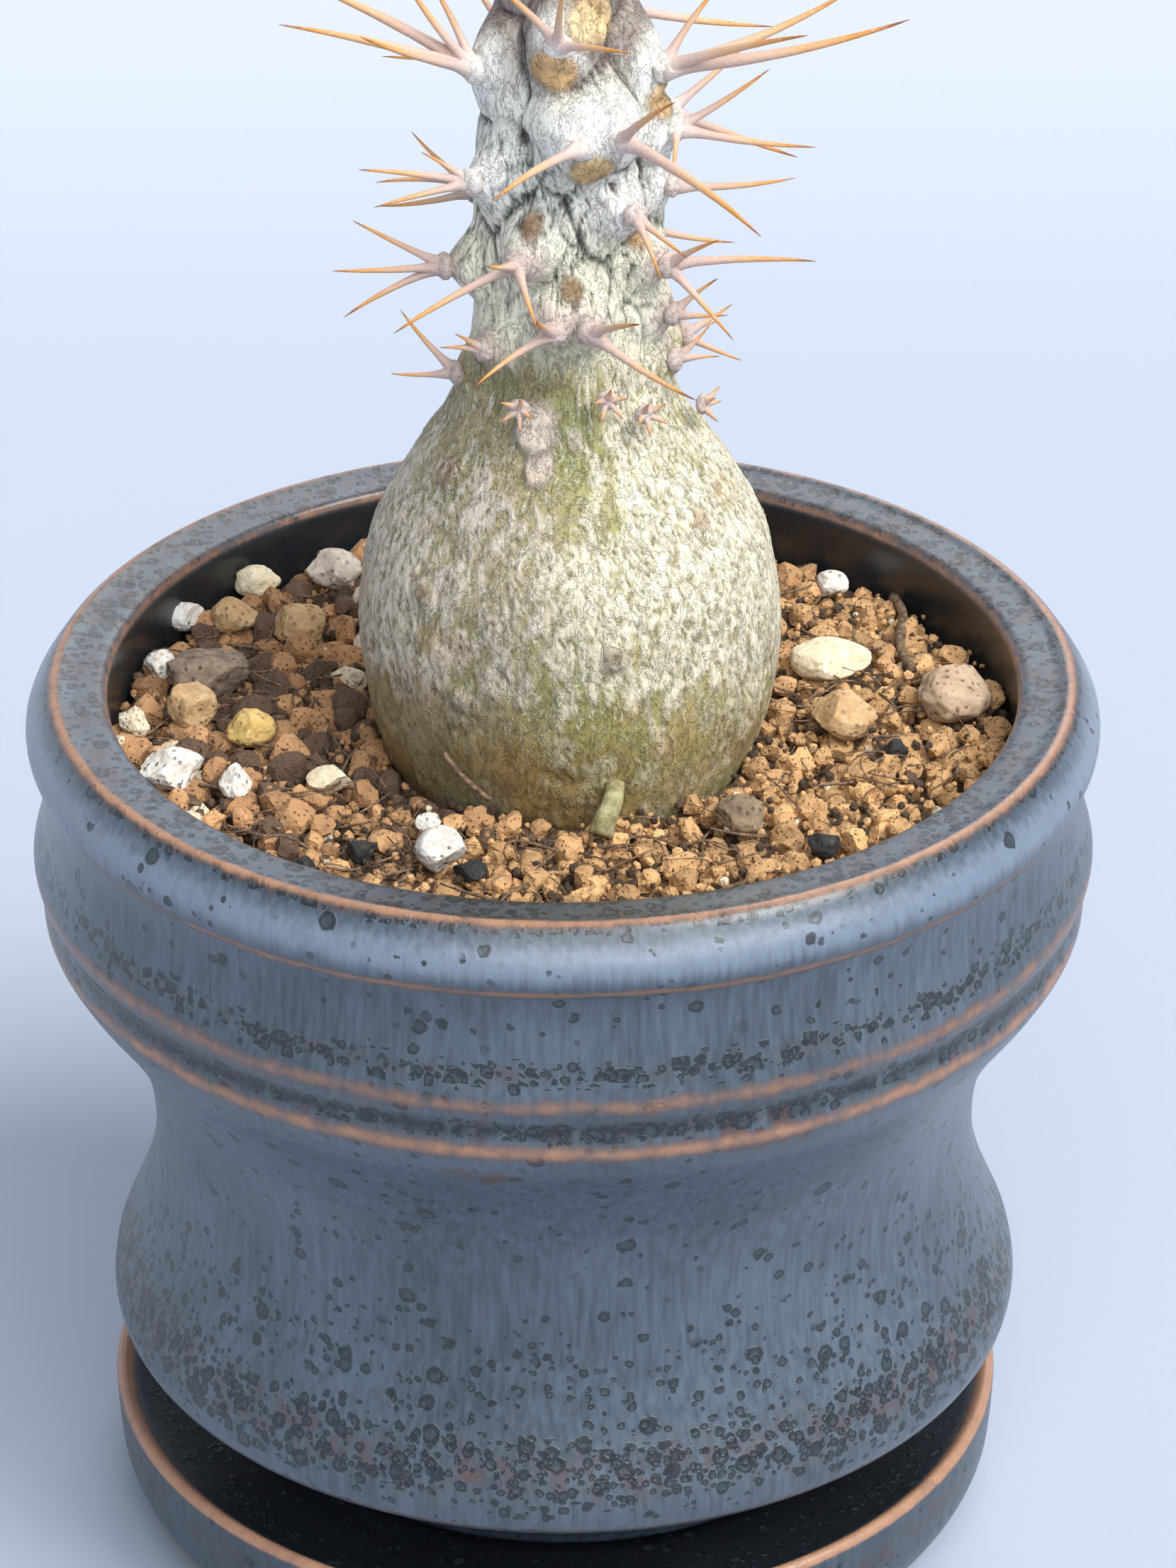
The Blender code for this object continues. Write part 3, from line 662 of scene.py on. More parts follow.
# The two layers of granules as (tries, lapse between grains, height over the soil).
GRIT_LAYERS = ((4200, 0.80, -0.0006), (4200, 0.84, 0.0007))
dice = np.random.default_rng(11)
for layer, (tries, lapse, height) in enumerate(GRIT_LAYERS):
    size = dice.uniform(0.0023, 0.0039, tries)
    places, chosen = spread(tries, size, dice, stone_spots if layer else nothing, lapse)
    size = size[chosen] * np.where(places[:, 0] - places[:, 1] < -0.006, 1.30, 1.0)
    if layer:
        keep = dice.uniform(0, 1, len(places)) < 0.70
        places, size = places[keep], size[keep]
    shapes, faces = pebble_shapes(len(places), 2, 30 + layer, 9, (0.50, 0.88), 0.16)
    sizes = size[:, None] * dice.uniform(0.40, 0.58, (len(places), 3))
    level = SOIL_TOP + height + dice.uniform(-0.0005, 0.0004, len(places))
    settle(scatter(f"grit_layer_{layer + 1}", shapes, faces, np.column_stack([places, level]),
                   sizes, grit_tints(places, dice), dice),
           "potting_mix", finish(f"grit_{layer + 1}", grit))

CRUMB_TRIES = 5200
size = dice.uniform(0.0005, 0.0014, CRUMB_TRIES)
places, chosen = spread(CRUMB_TRIES, size, dice, nothing, 0.5)
size = size[chosen]
shapes, faces = pebble_shapes(len(places), 1, 44)
is_humus = dice.uniform(0, 1, (len(places), 1)) < 0.30
tints = np.where(is_humus, HUMUS_CRUMB, grit_tints(places, dice))
crumb_level = SOIL_TOP + dice.uniform(-0.0010, 0.0012, len(places))
settle(scatter("grit_crumbs", shapes, faces, np.column_stack([places, crumb_level]),
               size[:, None] * dice.uniform(0.4, 0.6, (len(places), 3)), tints, dice),
       "potting_mix", finish("grit_crumbs", grit))

# ---------------------------------------------------------------------------------------------
# Stones: the larger pieces of pumice, baked clay, gravel, charcoal and bark in the top dressing.
# Each is a single broken or worn pebble lying loose on the mix.


def stone_look(base, second, specks, speck_share, grain, pits):
    """Look of a stone: two tones in patches, specks of a third, and pits of a given depth."""
    def look(wire, place):
        """Patches, specks and pits at fixed places in the stone."""
        patches = wire.noise(place, grain, 4, 0.6)
        fine = wire.noise(place, 0.0005, 3, 0.6)
        pick, _, _ = wire.cells(place, 0.0007, output="Color").parts()
        there = (speck_share - pick).clear(0.0, 0.05)
        spot = wire.cells(place, 0.0007).clear(0.42, 0.25) * there
        hole = wire.cells(place, 0.0010).clear(0.30, 0.12) * pits
        colour = wire.layers(rgb(*base),
                             (rgb(*second), (patches * 0.8 + fine * 0.3).clear(0.4, 0.75)),
                             (rgb(*specks), spot * 0.85),
                             (rgb(*(0.45 * tone for tone in second)), hole))
        return colour, 0.85, patches * 0.00018 + fine * 0.00008 - hole * 0.00022
    return look


PUMICE = stone_look((0.78, 0.77, 0.74), (0.60, 0.52, 0.43), (0.50, 0.36, 0.22), 0.12, 0.002, 0.8)
KANUMA = stone_look((0.72, 0.52, 0.20), (0.56, 0.36, 0.10), (0.80, 0.66, 0.36), 0.20, 0.002, 0.6)
CREAM = stone_look((0.80, 0.71, 0.52), (0.70, 0.56, 0.36), (0.86, 0.80, 0.68), 0.15, 0.002, 0.3)
SPECKLED = stone_look((0.66, 0.64, 0.60), (0.52, 0.49, 0.45), (0.07, 0.07, 0.07), 0.34, 0.0015,
                      0.3)
TAN = stone_look((0.46, 0.28, 0.13), (0.60, 0.42, 0.23), (0.26, 0.14, 0.07), 0.20, 0.002, 0.7)
BEIGE = stone_look((0.50, 0.37, 0.25), (0.34, 0.23, 0.15), (0.24, 0.15, 0.09), 0.24, 0.0025, 0.8)
WARM = stone_look((0.62, 0.55, 0.48), (0.46, 0.37, 0.30), (0.72, 0.67, 0.60), 0.20, 0.002, 0.6)
SCORIA = stone_look((0.17, 0.12, 0.08), (0.32, 0.23, 0.14), (0.07, 0.05, 0.04), 0.35, 0.0015, 1.0)
CHARCOAL = stone_look((0.012, 0.012, 0.013), (0.040, 0.038, 0.036), (0.09, 0.085, 0.08), 0.10,
                      0.0012, 0.5)
BARK = stone_look((0.150, 0.105, 0.075), (0.320, 0.240, 0.175), (0.060, 0.038, 0.026), 0.20,
                  0.0016, 0.4)
# Each stone's slot, look, number of flat cuts and roughness.
STONE_KINDS = {"pumice_white": ("pale_stone", PUMICE, 5, 0.10),
               "pumice_small": ("pale_stone", PUMICE, 6, 0.10),
               "kanuma_lump": ("yellow_stone", KANUMA, 3, 0.09),
               "cream_chip": ("cream_stone", CREAM, 9, 0.07),
               "bark_chip": ("bark", BARK, 12, 0.12),
               "grey_stone_back": ("grey_stone", WARM, 7, 0.09),
               "speckled_stone": ("pale_stone", SPECKLED, 5, 0.05),
               "charcoal_left": ("charcoal", CHARCOAL, 12, 0.08),
               "charcoal_right": ("charcoal", CHARCOAL, 12, 0.08),
               "cream_stone": ("cream_stone", CREAM, 3, 0.08),
               "tan_stone": ("tan_stone", TAN, 9, 0.08),
               "beige_stone": ("tan_stone", BEIGE, 7, 0.09),
               "dark_speckled_stone": ("grey_stone", SCORIA, 6, 0.12),
               "white_stone_back": ("pale_stone", PUMICE, 4, 0.05)}


def single_stone(name, low, high, slot, look, cuts, rough, seed, *nodes):
    """One detailed pebble that fills the space between two corners."""
    shapes, faces = pebble_shapes(1, 5, seed, cuts, (0.60, 0.95), rough)
    shape = shapes[0]
    fine = noise(shape + seed, 0.12, seed)[:, None]
    shape = shape * (1 + 0.022 * fine)
    span = shape.max(0) - shape.min(0)
    shape = (shape - shape.min(0)) / span * (high - low) + low
    settle(build(name, shape, faces.tolist()), slot, finish(name + "_look", look), *nodes)


for seed, node in enumerate(STONE_NODES):
    low, high = (np.array(corner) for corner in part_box(node))
    slot, look, cuts, rough = STONE_KINDS[node]
    single_stone(node + "_stone", low, high, slot, look, cuts, rough, 70 + seed, node)

# Loose pebbles that have no solid of their own, as (name, place and size in millimetres, kind).
LOOSE_STONES = [("lilac_pebble", (-40.5, 22.5), (4.4, 3.8, 3.4), "pale_stone", PUMICE),
                ("back_left_pebble", (-33.0, 30.5), (5.0, 4.2, 3.6), "pale_stone", CREAM),
                ("left_edge_pebble", (-42.2, 11.5), (3.6, 4.2, 3.2), "pale_stone", PUMICE),
                ("orange_lump_back", (-35.0, 22.0), (5.2, 5.0, 4.2), "tan_stone", TAN),
                ("orange_lump_mid", (-28.0, 20.0), (5.6, 5.0, 4.4), "tan_stone", TAN),
                ("orange_lump_left", (-38.2, 1.0), (5.2, 5.4, 4.4), "tan_stone", TAN),
                ("front_pebble", (-13.4, -21.4), (2.6, 2.4, 2.2), "pale_stone", PUMICE),
                ("charcoal_front", (-9.0, -31.5), (3.4, 2.6, 2.6), "charcoal", CHARCOAL),
                ("charcoal_back_left", (-25.5, -30.5), (2.6, 2.2, 2.2), "charcoal", CHARCOAL),
                ("charcoal_far_right", (34.0, -6.0), (2.6, 2.2, 2.2), "charcoal", CHARCOAL)]
for seed, (name, (x, y), size, slot, look) in enumerate(LOOSE_STONES):
    half = np.array(size) * MM / 2
    middle = np.array([x * MM, y * MM, SOIL_TOP + 0.0006 + half[2]])
    single_stone(name, middle - half, middle + half, slot, look, 6, 0.09, 90 + seed)

# ---------------------------------------------------------------------------------------------
# Roots and fibres: fine dry rootlets caught between the granules, one dead twig lying on the
# right, one leaning on the plant's base, and the green stub of a root at its foot.


def tubes(paths, radii, sides):
    """Round tubes along paths (count x rows x 3), as points count x rows x sides x 3.

    Each ring stands square to the straight line from the tube's first point to its last.
    """
    along = unit(paths[:, -1] - paths[:, 0])
    spare = np.where(np.abs(along[:, 2:]) > 0.8, [[1.0, 0.0, 0.0]], [[0.0, 0.0, 1.0]])
    first = unit(np.cross(spare, along))
    second = np.cross(first, along)
    angle = around(sides)[None, None, :, None]
    spokes = np.cos(angle) * first[:, None, None] + np.sin(angle) * second[:, None, None]
    return paths[:, :, None] + radii[:, :, None, None] * spokes


WOOD = grained((0.060, 0.034, 0.020), (0.280, 0.180, 0.105), 0.0006, 0.6, 0.75, 0.85, 0.00012)
ROOT_SKIN = grained((0.20, 0.17, 0.07), (0.44, 0.40, 0.22), 0.0009, 0.6, 0.7, 0.8, 0.00025)

ROOTLETS, ROOTLET_RINGS = 460, 9
angle = dice.uniform(0, 2 * np.pi, ROOTLETS)
away = np.sqrt(dice.uniform(0.25, 0.92, ROOTLETS)) * 0.0445
start = np.stack([away * np.cos(angle), away * np.sin(angle),
                  SOIL_TOP + dice.uniform(0.0004, 0.0018, ROOTLETS)], 1)
heading = dice.uniform(0, 2 * np.pi, ROOTLETS)
length = dice.uniform(0.002, 0.0065, ROOTLETS)[:, None, None]
t = np.linspace(0, 1, ROOTLET_RINGS)[None, :, None]
run = np.stack([np.cos(heading), np.sin(heading), dice.uniform(-0.15, 0.25, ROOTLETS)], 1)
bow = dice.normal(size=(ROOTLETS, 1, 3)) * [1, 1, 0.5]
paths = start[:, None] + (run[:, None] * t + bow * (t * (1 - t)) * 0.7) * length
spill = np.hypot(paths[..., 0], paths[..., 1]).max(1) < 0.0460
outside_base = np.hypot(paths[..., 0] - PLANT_X, paths[..., 1]).min(1) > 0.0200
paths = paths[spill & outside_base]
thick = dice.uniform(0.00007, 0.00022, len(paths))[:, None] * (1 - 0.6 * t[..., 0])
settle(ring_surface("rootlets", tubes(paths, thick, 6)), "potting_mix", finish("rootlets", WOOD))



def stick(name, points, step, foot, tip, knots, sides):
    """One tube through points in millimetres, its radius run from foot to tip, plus knots."""
    line = smooth_curve(points, step) * MM
    radii = np.linspace(foot, tip, len(line)) + knots * noise(line, 0.002, 8)
    return ring_surface(name, tubes(line[None], radii[None], sides))


DRY_TWIG = [(35.4, 29.0, 91.3), (36.2, 24.0, 91.6), (35.6, 18.0, 91.1), (36.6, 12.0, 91.4)]
LEANING_TWIG = [(-7.2, -21.6, 94.4), (-8.8, -21.4, 95.8), (-10.6, -20.4, 97.2),
                (-11.8, -19.2, 98.4)]
ROOT_STUB = [(5.4, -19.8, 95.6), (5.0, -21.6, 94.2), (4.2, -22.9, 92.6), (3.8, -23.2, 91.2)]
settle(stick("dry_twig_stem", DRY_TWIG, 0.5, 0.00052, 0.00052, 0.00010, 10), "twig",
       finish("dry_twig_bark", WOOD), "dry_twig")
settle(stick("leaning_twig", LEANING_TWIG, 0.4, 0.00028, 0.00028, 0.0, 8), "twig",
       finish("leaning_twig", WOOD))
settle(stick("root_stub", ROOT_STUB, 0.4, 0.0009, 0.0013, 0.0, 14), "stem_skin",
       finish("root_stub_skin", ROOT_SKIN))

# ---------------------------------------------------------------------------------------------
# Plant body: a swollen base and a stubby stem, one grown piece. Pale bark flakes lie over green
# skin on the base, and on the stem each spine cushion stands on its own bulge between creases.

# Spine cushions as (node, bearing in degrees, height above the rim and reach from the axis in
# millimetres, tips of the spines from the cushion in millimetres).
CUSHIONS = [
    ("spines_upper_left", -150, 67.5, 10.3, [(-17.5, -2, 5.5), (-9.5, -9, 7), (-18, 3, 9),
                                             (-6.5, 0, 11), (-4, 4, 9)]),
    ("spines_upper_front", -95, 71.5, 9.6, [(-7, -3, 8.5), (7, -7, 2.5), (1, -5, 9.5)]),
    ("spines_upper_right", -28, 67.5, 10.3, [(12.5, -9, 7), (22.5, -1, 5.5), (5, 2, 8.5),
                                             (17.5, 6, 6)]),
    ("spines_right_high", -22, 61, 11.2, [(8, 2, 5.5), (12.5, -2, -1), (-1.5, -7, -1.5)]),
    ("spines_front_high_left", -84, 62.6, 13.2, [(-8.5, -12, 0)]),
    ("spines_front_high_right", -67, 63, 13.2, [(4.5, -9, 8), (12.5, -14, -3.5)]),
    ("spines_left_high", -143, 56.5, 11.5, [(-10, -1, 2), (-4, 1, 3), (-8.5, 3, -1),
                                            (-8.5, -2, -1.5)]),
    ("spine_right_middle", -22, 55, 10.8, [(11, 1, 0.5)]),
    ("spines_front_middle", -58, 54.5, 12, [(4.5, -5, -2), (2, -6, -4)]),
    ("spines_left_middle", -166, 46, 12.3, [(-8, 1, 4.5), (-10, -1, 0), (-9, -1, -5)]),
    ("spines_front_left", -112, 50, 12.8, [(-11.5, -4, -5), (2.5, -6, -4), (-2.5, -6, 3)]),
    ("spines_front_right", -37, 48, 12, [(5.5, -5, -5.5), (13.5, -2, 1.5), (4, -5, 5)]),
    ("spines_low_front_left", -96, 43.2, 12.8, [(-7.5, -6, -2.5), (-1.5, -6, 4.5)]),
    ("spines_low_front_right", -80, 43.2, 12.8, [(10, -7, -3.5), (4.5, -7, 4.5)]),
    ("spines_right_low", -28, 42, 11.5, [(3.5, 0, 4), (4.5, -1, 0.5)]),
    ("spines_left_low", -138, 39, 11, [(-3.5, -1, 1), (-2, -1, 2.5)]),
    ("spines_left_lowest", -160, 35, 11.6, [(-4.5, 1, 6.5), (-5.5, 0, 0)]),
    ("spines_right_lowest", -22, 36.5, 11.2, [(2.5, 1, 3.5), (3.5, 0, 0.5)])]
GOLDEN_SHARE = 0.618
for k in range(8):
    bearing = 14 + (k * GOLDEN_SHARE * 150) % 150
    height, length = 36 + 4.6 * k, 6 + 1.4 * k
    reach = 11.8 - 0.15 * k if height < 60 else 10.6
    tips = []
    for sway, rise, share in ((-50, -0.25, 1.0), (48, -0.15, 0.9), (5, 0.65, 0.8)):
        flat = length * share * math.cos(math.atan(rise))
        way = math.radians(bearing + sway)
        tips.append((flat * math.cos(way), flat * math.sin(way), flat * rise))
    CUSHIONS.append((f"spines_back_{k + 1}", bearing, height, reach, tips))
for k in range(4):
    way = math.radians(35 + 90 * k)
    side = way + math.radians(70)
    CUSHIONS.append((f"spines_crown_{k + 1}", 35 + 90 * k, 78.5 + 0.8 * (k % 2), 7.6,
                     [(4.5 * math.cos(way), 4.5 * math.sin(way), 6.5),
                      (5 * math.cos(side), 5 * math.sin(side), 5)]))
STARS = [("star_front_left", -112, 34.5, 12.2), ("star_front", -72, 35.5, 12.0),
         ("star_front_right", -54, 33.5, 12.6), ("star_right", -12, 31.0, 13.4)]


LATTICE_ROWS = 400


def bark_cells(across, up, count, seed):
    """Jittered cells round the plant: distances to the nearest two centres, and random values.

    Across counts cells round the plant and wraps at count. Each point looks at the centres in
    its own square of the lattice and the eight round it.
    """
    dice = np.random.default_rng(seed)
    jitter = dice.uniform(-0.42, 0.42, (count, LATTICE_ROWS, 2))
    values = dice.uniform(0, 1, (count, LATTICE_ROWS))
    column, row = np.floor(across).astype(int), np.floor(up).astype(int)
    nearest = np.full(across.shape, 9.0)
    second = np.full(across.shape, 9.0)
    value = np.zeros(across.shape)
    for a in (-1, 0, 1):
        for b in (-1, 0, 1):
            key = ((column + a) % count, (row + b) % LATTICE_ROWS)
            du = column + a + 0.5 + jitter[key][..., 0] - across
            dv = row + b + 0.5 + jitter[key][..., 1] - up
            distance = np.hypot(du, dv)
            second = np.minimum(second, np.maximum(distance, nearest))
            closer = distance < nearest
            value = np.where(closer, values[key], value)
            nearest = np.where(closer, distance, nearest)
    return nearest, second, value


COLUMNS = 336
STEM_RADIUS = 0.0112
# Heights over the rim from which cushions are big and their wool is still fresh.
BIG_CUSHIONS_FROM, WOOLLY_FROM = 0.0575, 0.0535
# Cushions nearer to each other than this share one bulge, with no crease between them.
NEIGHBOUR_GAP = 0.0055
profile = smooth_curve(BODY_OUTLINE, 0.53) * MM
radius, height = profile[:, :1], profile[:, 1:]
angle = np.linspace(-np.pi, np.pi, COLUMNS, endpoint=False)[None, :]
slope = unit(np.gradient(profile, axis=0))
plain = np.stack([radius * np.cos(angle), radius * np.sin(angle),
                  np.repeat(height, COLUMNS, 1)], -1)
warp = noise(plain, 0.0022, 61)
broad = noise(plain, 0.009, 62)
fine = noise(plain, 0.0011, 63)
upper = fade(height, 0.044, 0.050)
stem = fade(height, 0.0355, 0.0415)


def wrapped(difference):
    """Angle difference brought into the half turn either way."""
    return (difference + np.pi) % (2 * np.pi) - np.pi


# Cushion bulges, and the creases half way between neighbouring cushions.
bearings = np.radians([entry[1] for entry in CUSHIONS])
heights = np.array([entry[2] for entry in CUSHIONS]) * MM
reaches = np.array([entry[3] for entry in CUSHIONS]) * MM
du = wrapped(angle[..., None] - bearings) * STEM_RADIUS
dv = height[..., None] - heights
apart = np.hypot(du + 0.0002 * warp[..., None], dv)
spans = np.where(heights > BIG_CUSHIONS_FROM, 0.0078, 0.0048)
cone = fade(apart, spans, 0.0003) * (reaches - body_radius(heights))
swell = cone.max(-1)
order = np.argsort(apart, axis=-1)
near, next_near = order[..., 0], order[..., 1]
to_near, to_next = np.moveaxis(np.take_along_axis(apart, order[..., :2], -1), -1, 0)
gap = np.hypot(wrapped(bearings[near] - bearings[next_near]) * STEM_RADIUS,
               heights[near] - heights[next_near])
edge = (to_next ** 2 - to_near ** 2) / (2 * gap) + 0.0004 * warp
creased = upper * (gap > NEIGHBOUR_GAP)
seam = creased * np.exp(-(edge / 0.00026) ** 2)
hollow = creased * np.exp(-np.abs(edge) / 0.0010) * 0.5

# Bark cells: tall flakes on the base, longer cracks up the stem.
middling = noise(plain, 0.0040, 65)
FLAKES_ROUND, FLAKE_HEIGHT = 136, 0.0034
CRACKS_ROUND, CRACK_HEIGHT = 34, 0.0050
LOWEST_ROW = 60
round_share = (angle + np.pi) / (2 * np.pi)
across = round_share * FLAKES_ROUND + 0.8 * warp + 1.4 * middling
up = height / FLAKE_HEIGHT + LOWEST_ROW + 0.5 * fine + 0.7 * middling
nearest, second, value = bark_cells(across, up, FLAKES_ROUND, 5)
flake_edge = second - nearest
long_near, long_second, long_value = bark_cells(
    round_share * CRACKS_ROUND + 0.6 * warp,
    height / CRACK_HEIGHT + LOWEST_ROW + 0.5 * warp, CRACKS_ROUND, 6)
crack = np.exp(-((long_second - long_near) / 0.095) ** 2) * fade(long_value, 0.30, 0.45)

# Where flakes cover the green skin: most on the right, least on the shoulder and the mossy foot.
right_side = fade(np.cos(angle + 0.35), 0.0, 0.85)
left_side = fade(np.cos(angle + 2.85), -0.05, 0.75)
low_band = fade(height + 0.0030 * broad, 0.0095, -0.0015)
shoulder = fade(height, 0.0190, 0.0280) * fade(height, 0.0440, 0.0390)
cover = 0.62 + 0.32 * right_side + 0.16 * left_side + 0.22 * broad - 0.42 * low_band
cover = cover - 0.50 * shoulder * (1 - 0.75 * right_side)
moss_front = np.exp(-(wrapped(angle + 1.60) / 0.34) ** 2 - ((height - 0.0060) / 0.0060) ** 2)
moss_front = moss_front * fade(broad + 0.6 * middling, -0.5, 0.3)
cover = cover - 0.42 * moss_front
flake = fade(cover - 0.65 * value - 0.35 * (0.5 + 0.9 * warp), -0.06, 0.10)
flake = flake * fade(flake_edge, 0.04, 0.16)
bulb = 1 - stem

lift = 0.00030 * broad + (0.00006 + 0.00010 * bulb) * warp + 0.00005 * fine
lift = lift + bulb * (0.00015 * flake - 0.00010 * np.exp(-(flake_edge / 0.07) ** 2))
lift = lift - stem * crack * 0.00024 * fade(height, 0.034, 0.044)
lift = lift - 0.00042 * seam - 0.00045 * hollow

# Leaf scars, dried buds and stains as (bearing, height and width in mm, colour, rise in mm).
MARKS = [(-98, 69.0, 4.2, (0.72, 0.42, 0.15), 0.45), (-27, 64.2, 3.8, (0.74, 0.46, 0.18), 0.45),
         (-79, 59.7, 3.8, (0.70, 0.46, 0.18), 0.35), (-73, 73.2, 5.0, (0.86, 0.62, 0.32), 0.50),
         (-109, 53.2, 2.4, (0.30, 0.17, 0.09), 0.35), (-48, 51.0, 2.4, (0.52, 0.32, 0.14), 0.40),
         (-88, 46.6, 2.4, (0.34, 0.20, 0.09), 0.40), (-118, 61.6, 1.9, (0.05, 0.008, 0.008), -0.5),
         (-65, 57.0, 0.9, (0.07, 0.03, 0.02), -0.3), (-103, 28.4, 3.2, (0.68, 0.55, 0.45), 0.60),
         (-106, 32.0, 4.8, (0.66, 0.56, 0.46), 0.80),
         (-77, 11.7, 2.4, (0.50, 0.42, 0.28), 0.8), (-120, 6.0, 2.2, (0.46, 0.38, 0.28), 0.7),
         (-143, 26.0, 2.6, (0.30, 0.20, 0.13), 0.9), (-135, 15.5, 2.0, (0.34, 0.24, 0.15), 0.7),
         (-40, 22.0, 2.0, (0.58, 0.42, 0.26), 0.5), (20, 14.0, 2.4, (0.46, 0.36, 0.24), 0.6),
         (75, 20.0, 2.6, (0.42, 0.32, 0.22), 0.6), (140, 10.0, 2.2, (0.44, 0.34, 0.24), 0.6)]

OLIVE, MOSS = np.array([0.310, 0.285, 0.080]), np.array([0.195, 0.230, 0.030])
STRAW, SAND = np.array([0.50, 0.46, 0.28]), np.array([0.48, 0.42, 0.22])
EARTH, RUST = np.array([0.34, 0.27, 0.19]), np.array([0.52, 0.30, 0.12])
BULB_TAN, BULB_FOOT = np.array([0.340, 0.190, 0.042]), np.array([0.40, 0.320, 0.110])
CREAM_BARK, GREY_BARK = np.array([0.86, 0.81, 0.64]), np.array([0.66, 0.57, 0.51])
FRONT_BARK, BARK_WEB = np.array([0.70, 0.66, 0.47]), np.array([0.60, 0.55, 0.47])
STEM_PALE, STEM_GREY = np.array([0.86, 0.82, 0.64]), np.array([0.79, 0.79, 0.70])
STEM_DUST, SPLIT = np.array([0.42, 0.40, 0.30]), np.array([0.060, 0.075, 0.055])
# The crease colour is painted shade for the creases between cushions.
CREASE_SHADE, MAUVE = np.array([0.035, 0.042, 0.038]), np.array([0.160, 0.105, 0.092])
WOOL, OLD_WOOL = np.array([0.88, 0.86, 0.83]), np.array([0.60, 0.48, 0.43])


def mix(first, second, share):
    """Blend of two colours or colour fields by a share field."""
    return first + (second - first) * np.clip(share, 0, 1)[..., None]


def layered(tone, *layers):
    """Colours laid over a tone one after the other, each with the share it covers."""
    for colour, share in layers:
        tone = mix(tone, colour, share)
    return tone


patch = noise(plain + 0.5, 0.0055, 64)
skin = layered(mix(OLIVE, MOSS, fade(patch, -0.2, 0.4)),
               (STRAW, 0.45 * (1 - shoulder) * fade(patch, 0.35, -0.05)),
               (MOSS * 1.1, moss_front),
               (EARTH, 0.55 * left_side),
               (SAND, 0.60 * right_side),
               (BULB_TAN, low_band * (0.40 + 0.45 * left_side) * fade(broad, -0.6, 0.3)))
bark = layered(mix(FRONT_BARK, CREAM_BARK, right_side),
               (GREY_BARK, 0.75 * left_side),
               (BULB_FOOT, 0.85 * low_band * (1 - 0.5 * right_side)))
bark = bark * (0.84 + 0.24 * value[..., None])
web_near, web_second, _ = bark_cells(across * 1.5 + 0.5, up * 1.4, FLAKES_ROUND * 3 // 2, 7)
web = np.exp(-((web_second - web_near) / 0.13) ** 2)
bark = mix(bark, bark * BARK_WEB, (0.60 + 0.30 * low_band) * web)
# Painted shade: the skin showing in the cracks between flakes is a darker copy of itself.
bulb_tone = layered(skin,
                    (bark, flake * 0.90),
                    (skin * 0.50, 0.60 * np.exp(-(flake_edge / 0.10) ** 2)),
                    (RUST, 0.30 * fade(patch, 0.42, 0.7)))
splits = crack * fade(height, 0.036, 0.046) * fade(height, 0.066, 0.058)
crown_dark = fade(height, 0.0645, 0.0700) * fade(height, 0.0845, 0.0790)
crown_dark = crown_dark * fade(to_near, 0.0022, 0.0046)
# Painted shade: the creases between cushions are laid near black.
stem_tone = layered(mix(STEM_PALE, STEM_GREY, fade(height + 0.003 * broad, 0.046, 0.058)),
                    (STEM_DUST, 0.35 * fade(broad, 0.1, 0.6) * (1 - upper)),
                    (SPLIT, splits * 1.05),
                    (CREASE_SHADE, seam),
                    (MAUVE, crown_dark * (0.8 + 0.25 * warp)),
                    (WOOL * 0.85, fade(height, 0.0790, 0.0835) * (0.75 + 0.5 * fine)))
tone = mix(bulb_tone, stem_tone, stem + 0.30 * warp * (stem > 0) * (stem < 1))
woolly = (heights[near] > WOOLLY_FROM)[..., None]
pad = fade(to_near + 0.0006 * warp, np.where(woolly[..., 0], 0.0046, 0.0030), 0.0012) * stem
tone = mix(tone, np.where(woolly, WOOL, OLD_WOOL), pad * 0.85)
for bearing, mark_height, width, colour, rise in MARKS:
    reach = body_radius(mark_height * MM) + 0.001
    away = np.hypot(wrapped(angle - math.radians(bearing)) * reach, height - mark_height * MM)
    away = away + 0.00018 * warp
    half = width * MM / 2
    disc = fade(away, half * 1.08, half * 0.80)
    rim_ring = np.exp(-((away - half) / (half * 0.18)) ** 2)
    lift = lift + (rise * MM) * (disc * 0.9 + rim_ring * 0.3 - 0.35 * fade(away, half * 0.6, 0))
    tone = mix(tone, np.array(colour) * (0.9 + 0.35 * fine[..., None]), disc * 0.9)
    tone = mix(tone, np.array(colour) * 0.45, rim_ring * 0.5)

sunk = fade(height, -0.0072, -0.0120)
lift = lift * (1 - sunk)
out_to = radius + swell - slope[:, 1:] * lift
body = np.stack([out_to * np.cos(angle) + PLANT_X, out_to * np.sin(angle),
                 height + slope[:, :1] * lift + RIM], -1)


def plant_skin(wire, place):
    """Living skin and bark: tones from the surface, with pores, dust and fine cracks."""
    tone = wire.read("tone", "Color")
    x, y, z = place.parts()
    drawn = wire.vector(x, y, z * 0.45)
    grain = wire.noise(drawn, 0.0006, 4, 0.65)
    hair = wire.noise(drawn, 0.0013, 4, 0.7, 0.6)
    line = hair.near(0.5, 0.030)
    ridge = wire.noise(wire.vector(x, y, z * 0.32), 0.0010, 3, 0.6, 0.8).near(0.52, 0.040)
    on_base = z.clear(RIM + 0.038, RIM + 0.030) * z.clear(RIM - 0.004, RIM + 0.008)
    colour = wire.layers(tone, (rgb(0.16, 0.13, 0.08), line * 0.28),
                         (rgb(0.88, 0.86, 0.76), grain.clear(0.58, 0.78) * 0.30),
                         (rgb(0.88, 0.85, 0.72), ridge * on_base * 0.42),
                         (rgb(0.12, 0.10, 0.06), grain.clear(0.42, 0.24) * 0.22))
    return colour, 0.62 + 0.25 * grain, grain * 0.00016 - line * 0.00010 + ridge * 0.00006


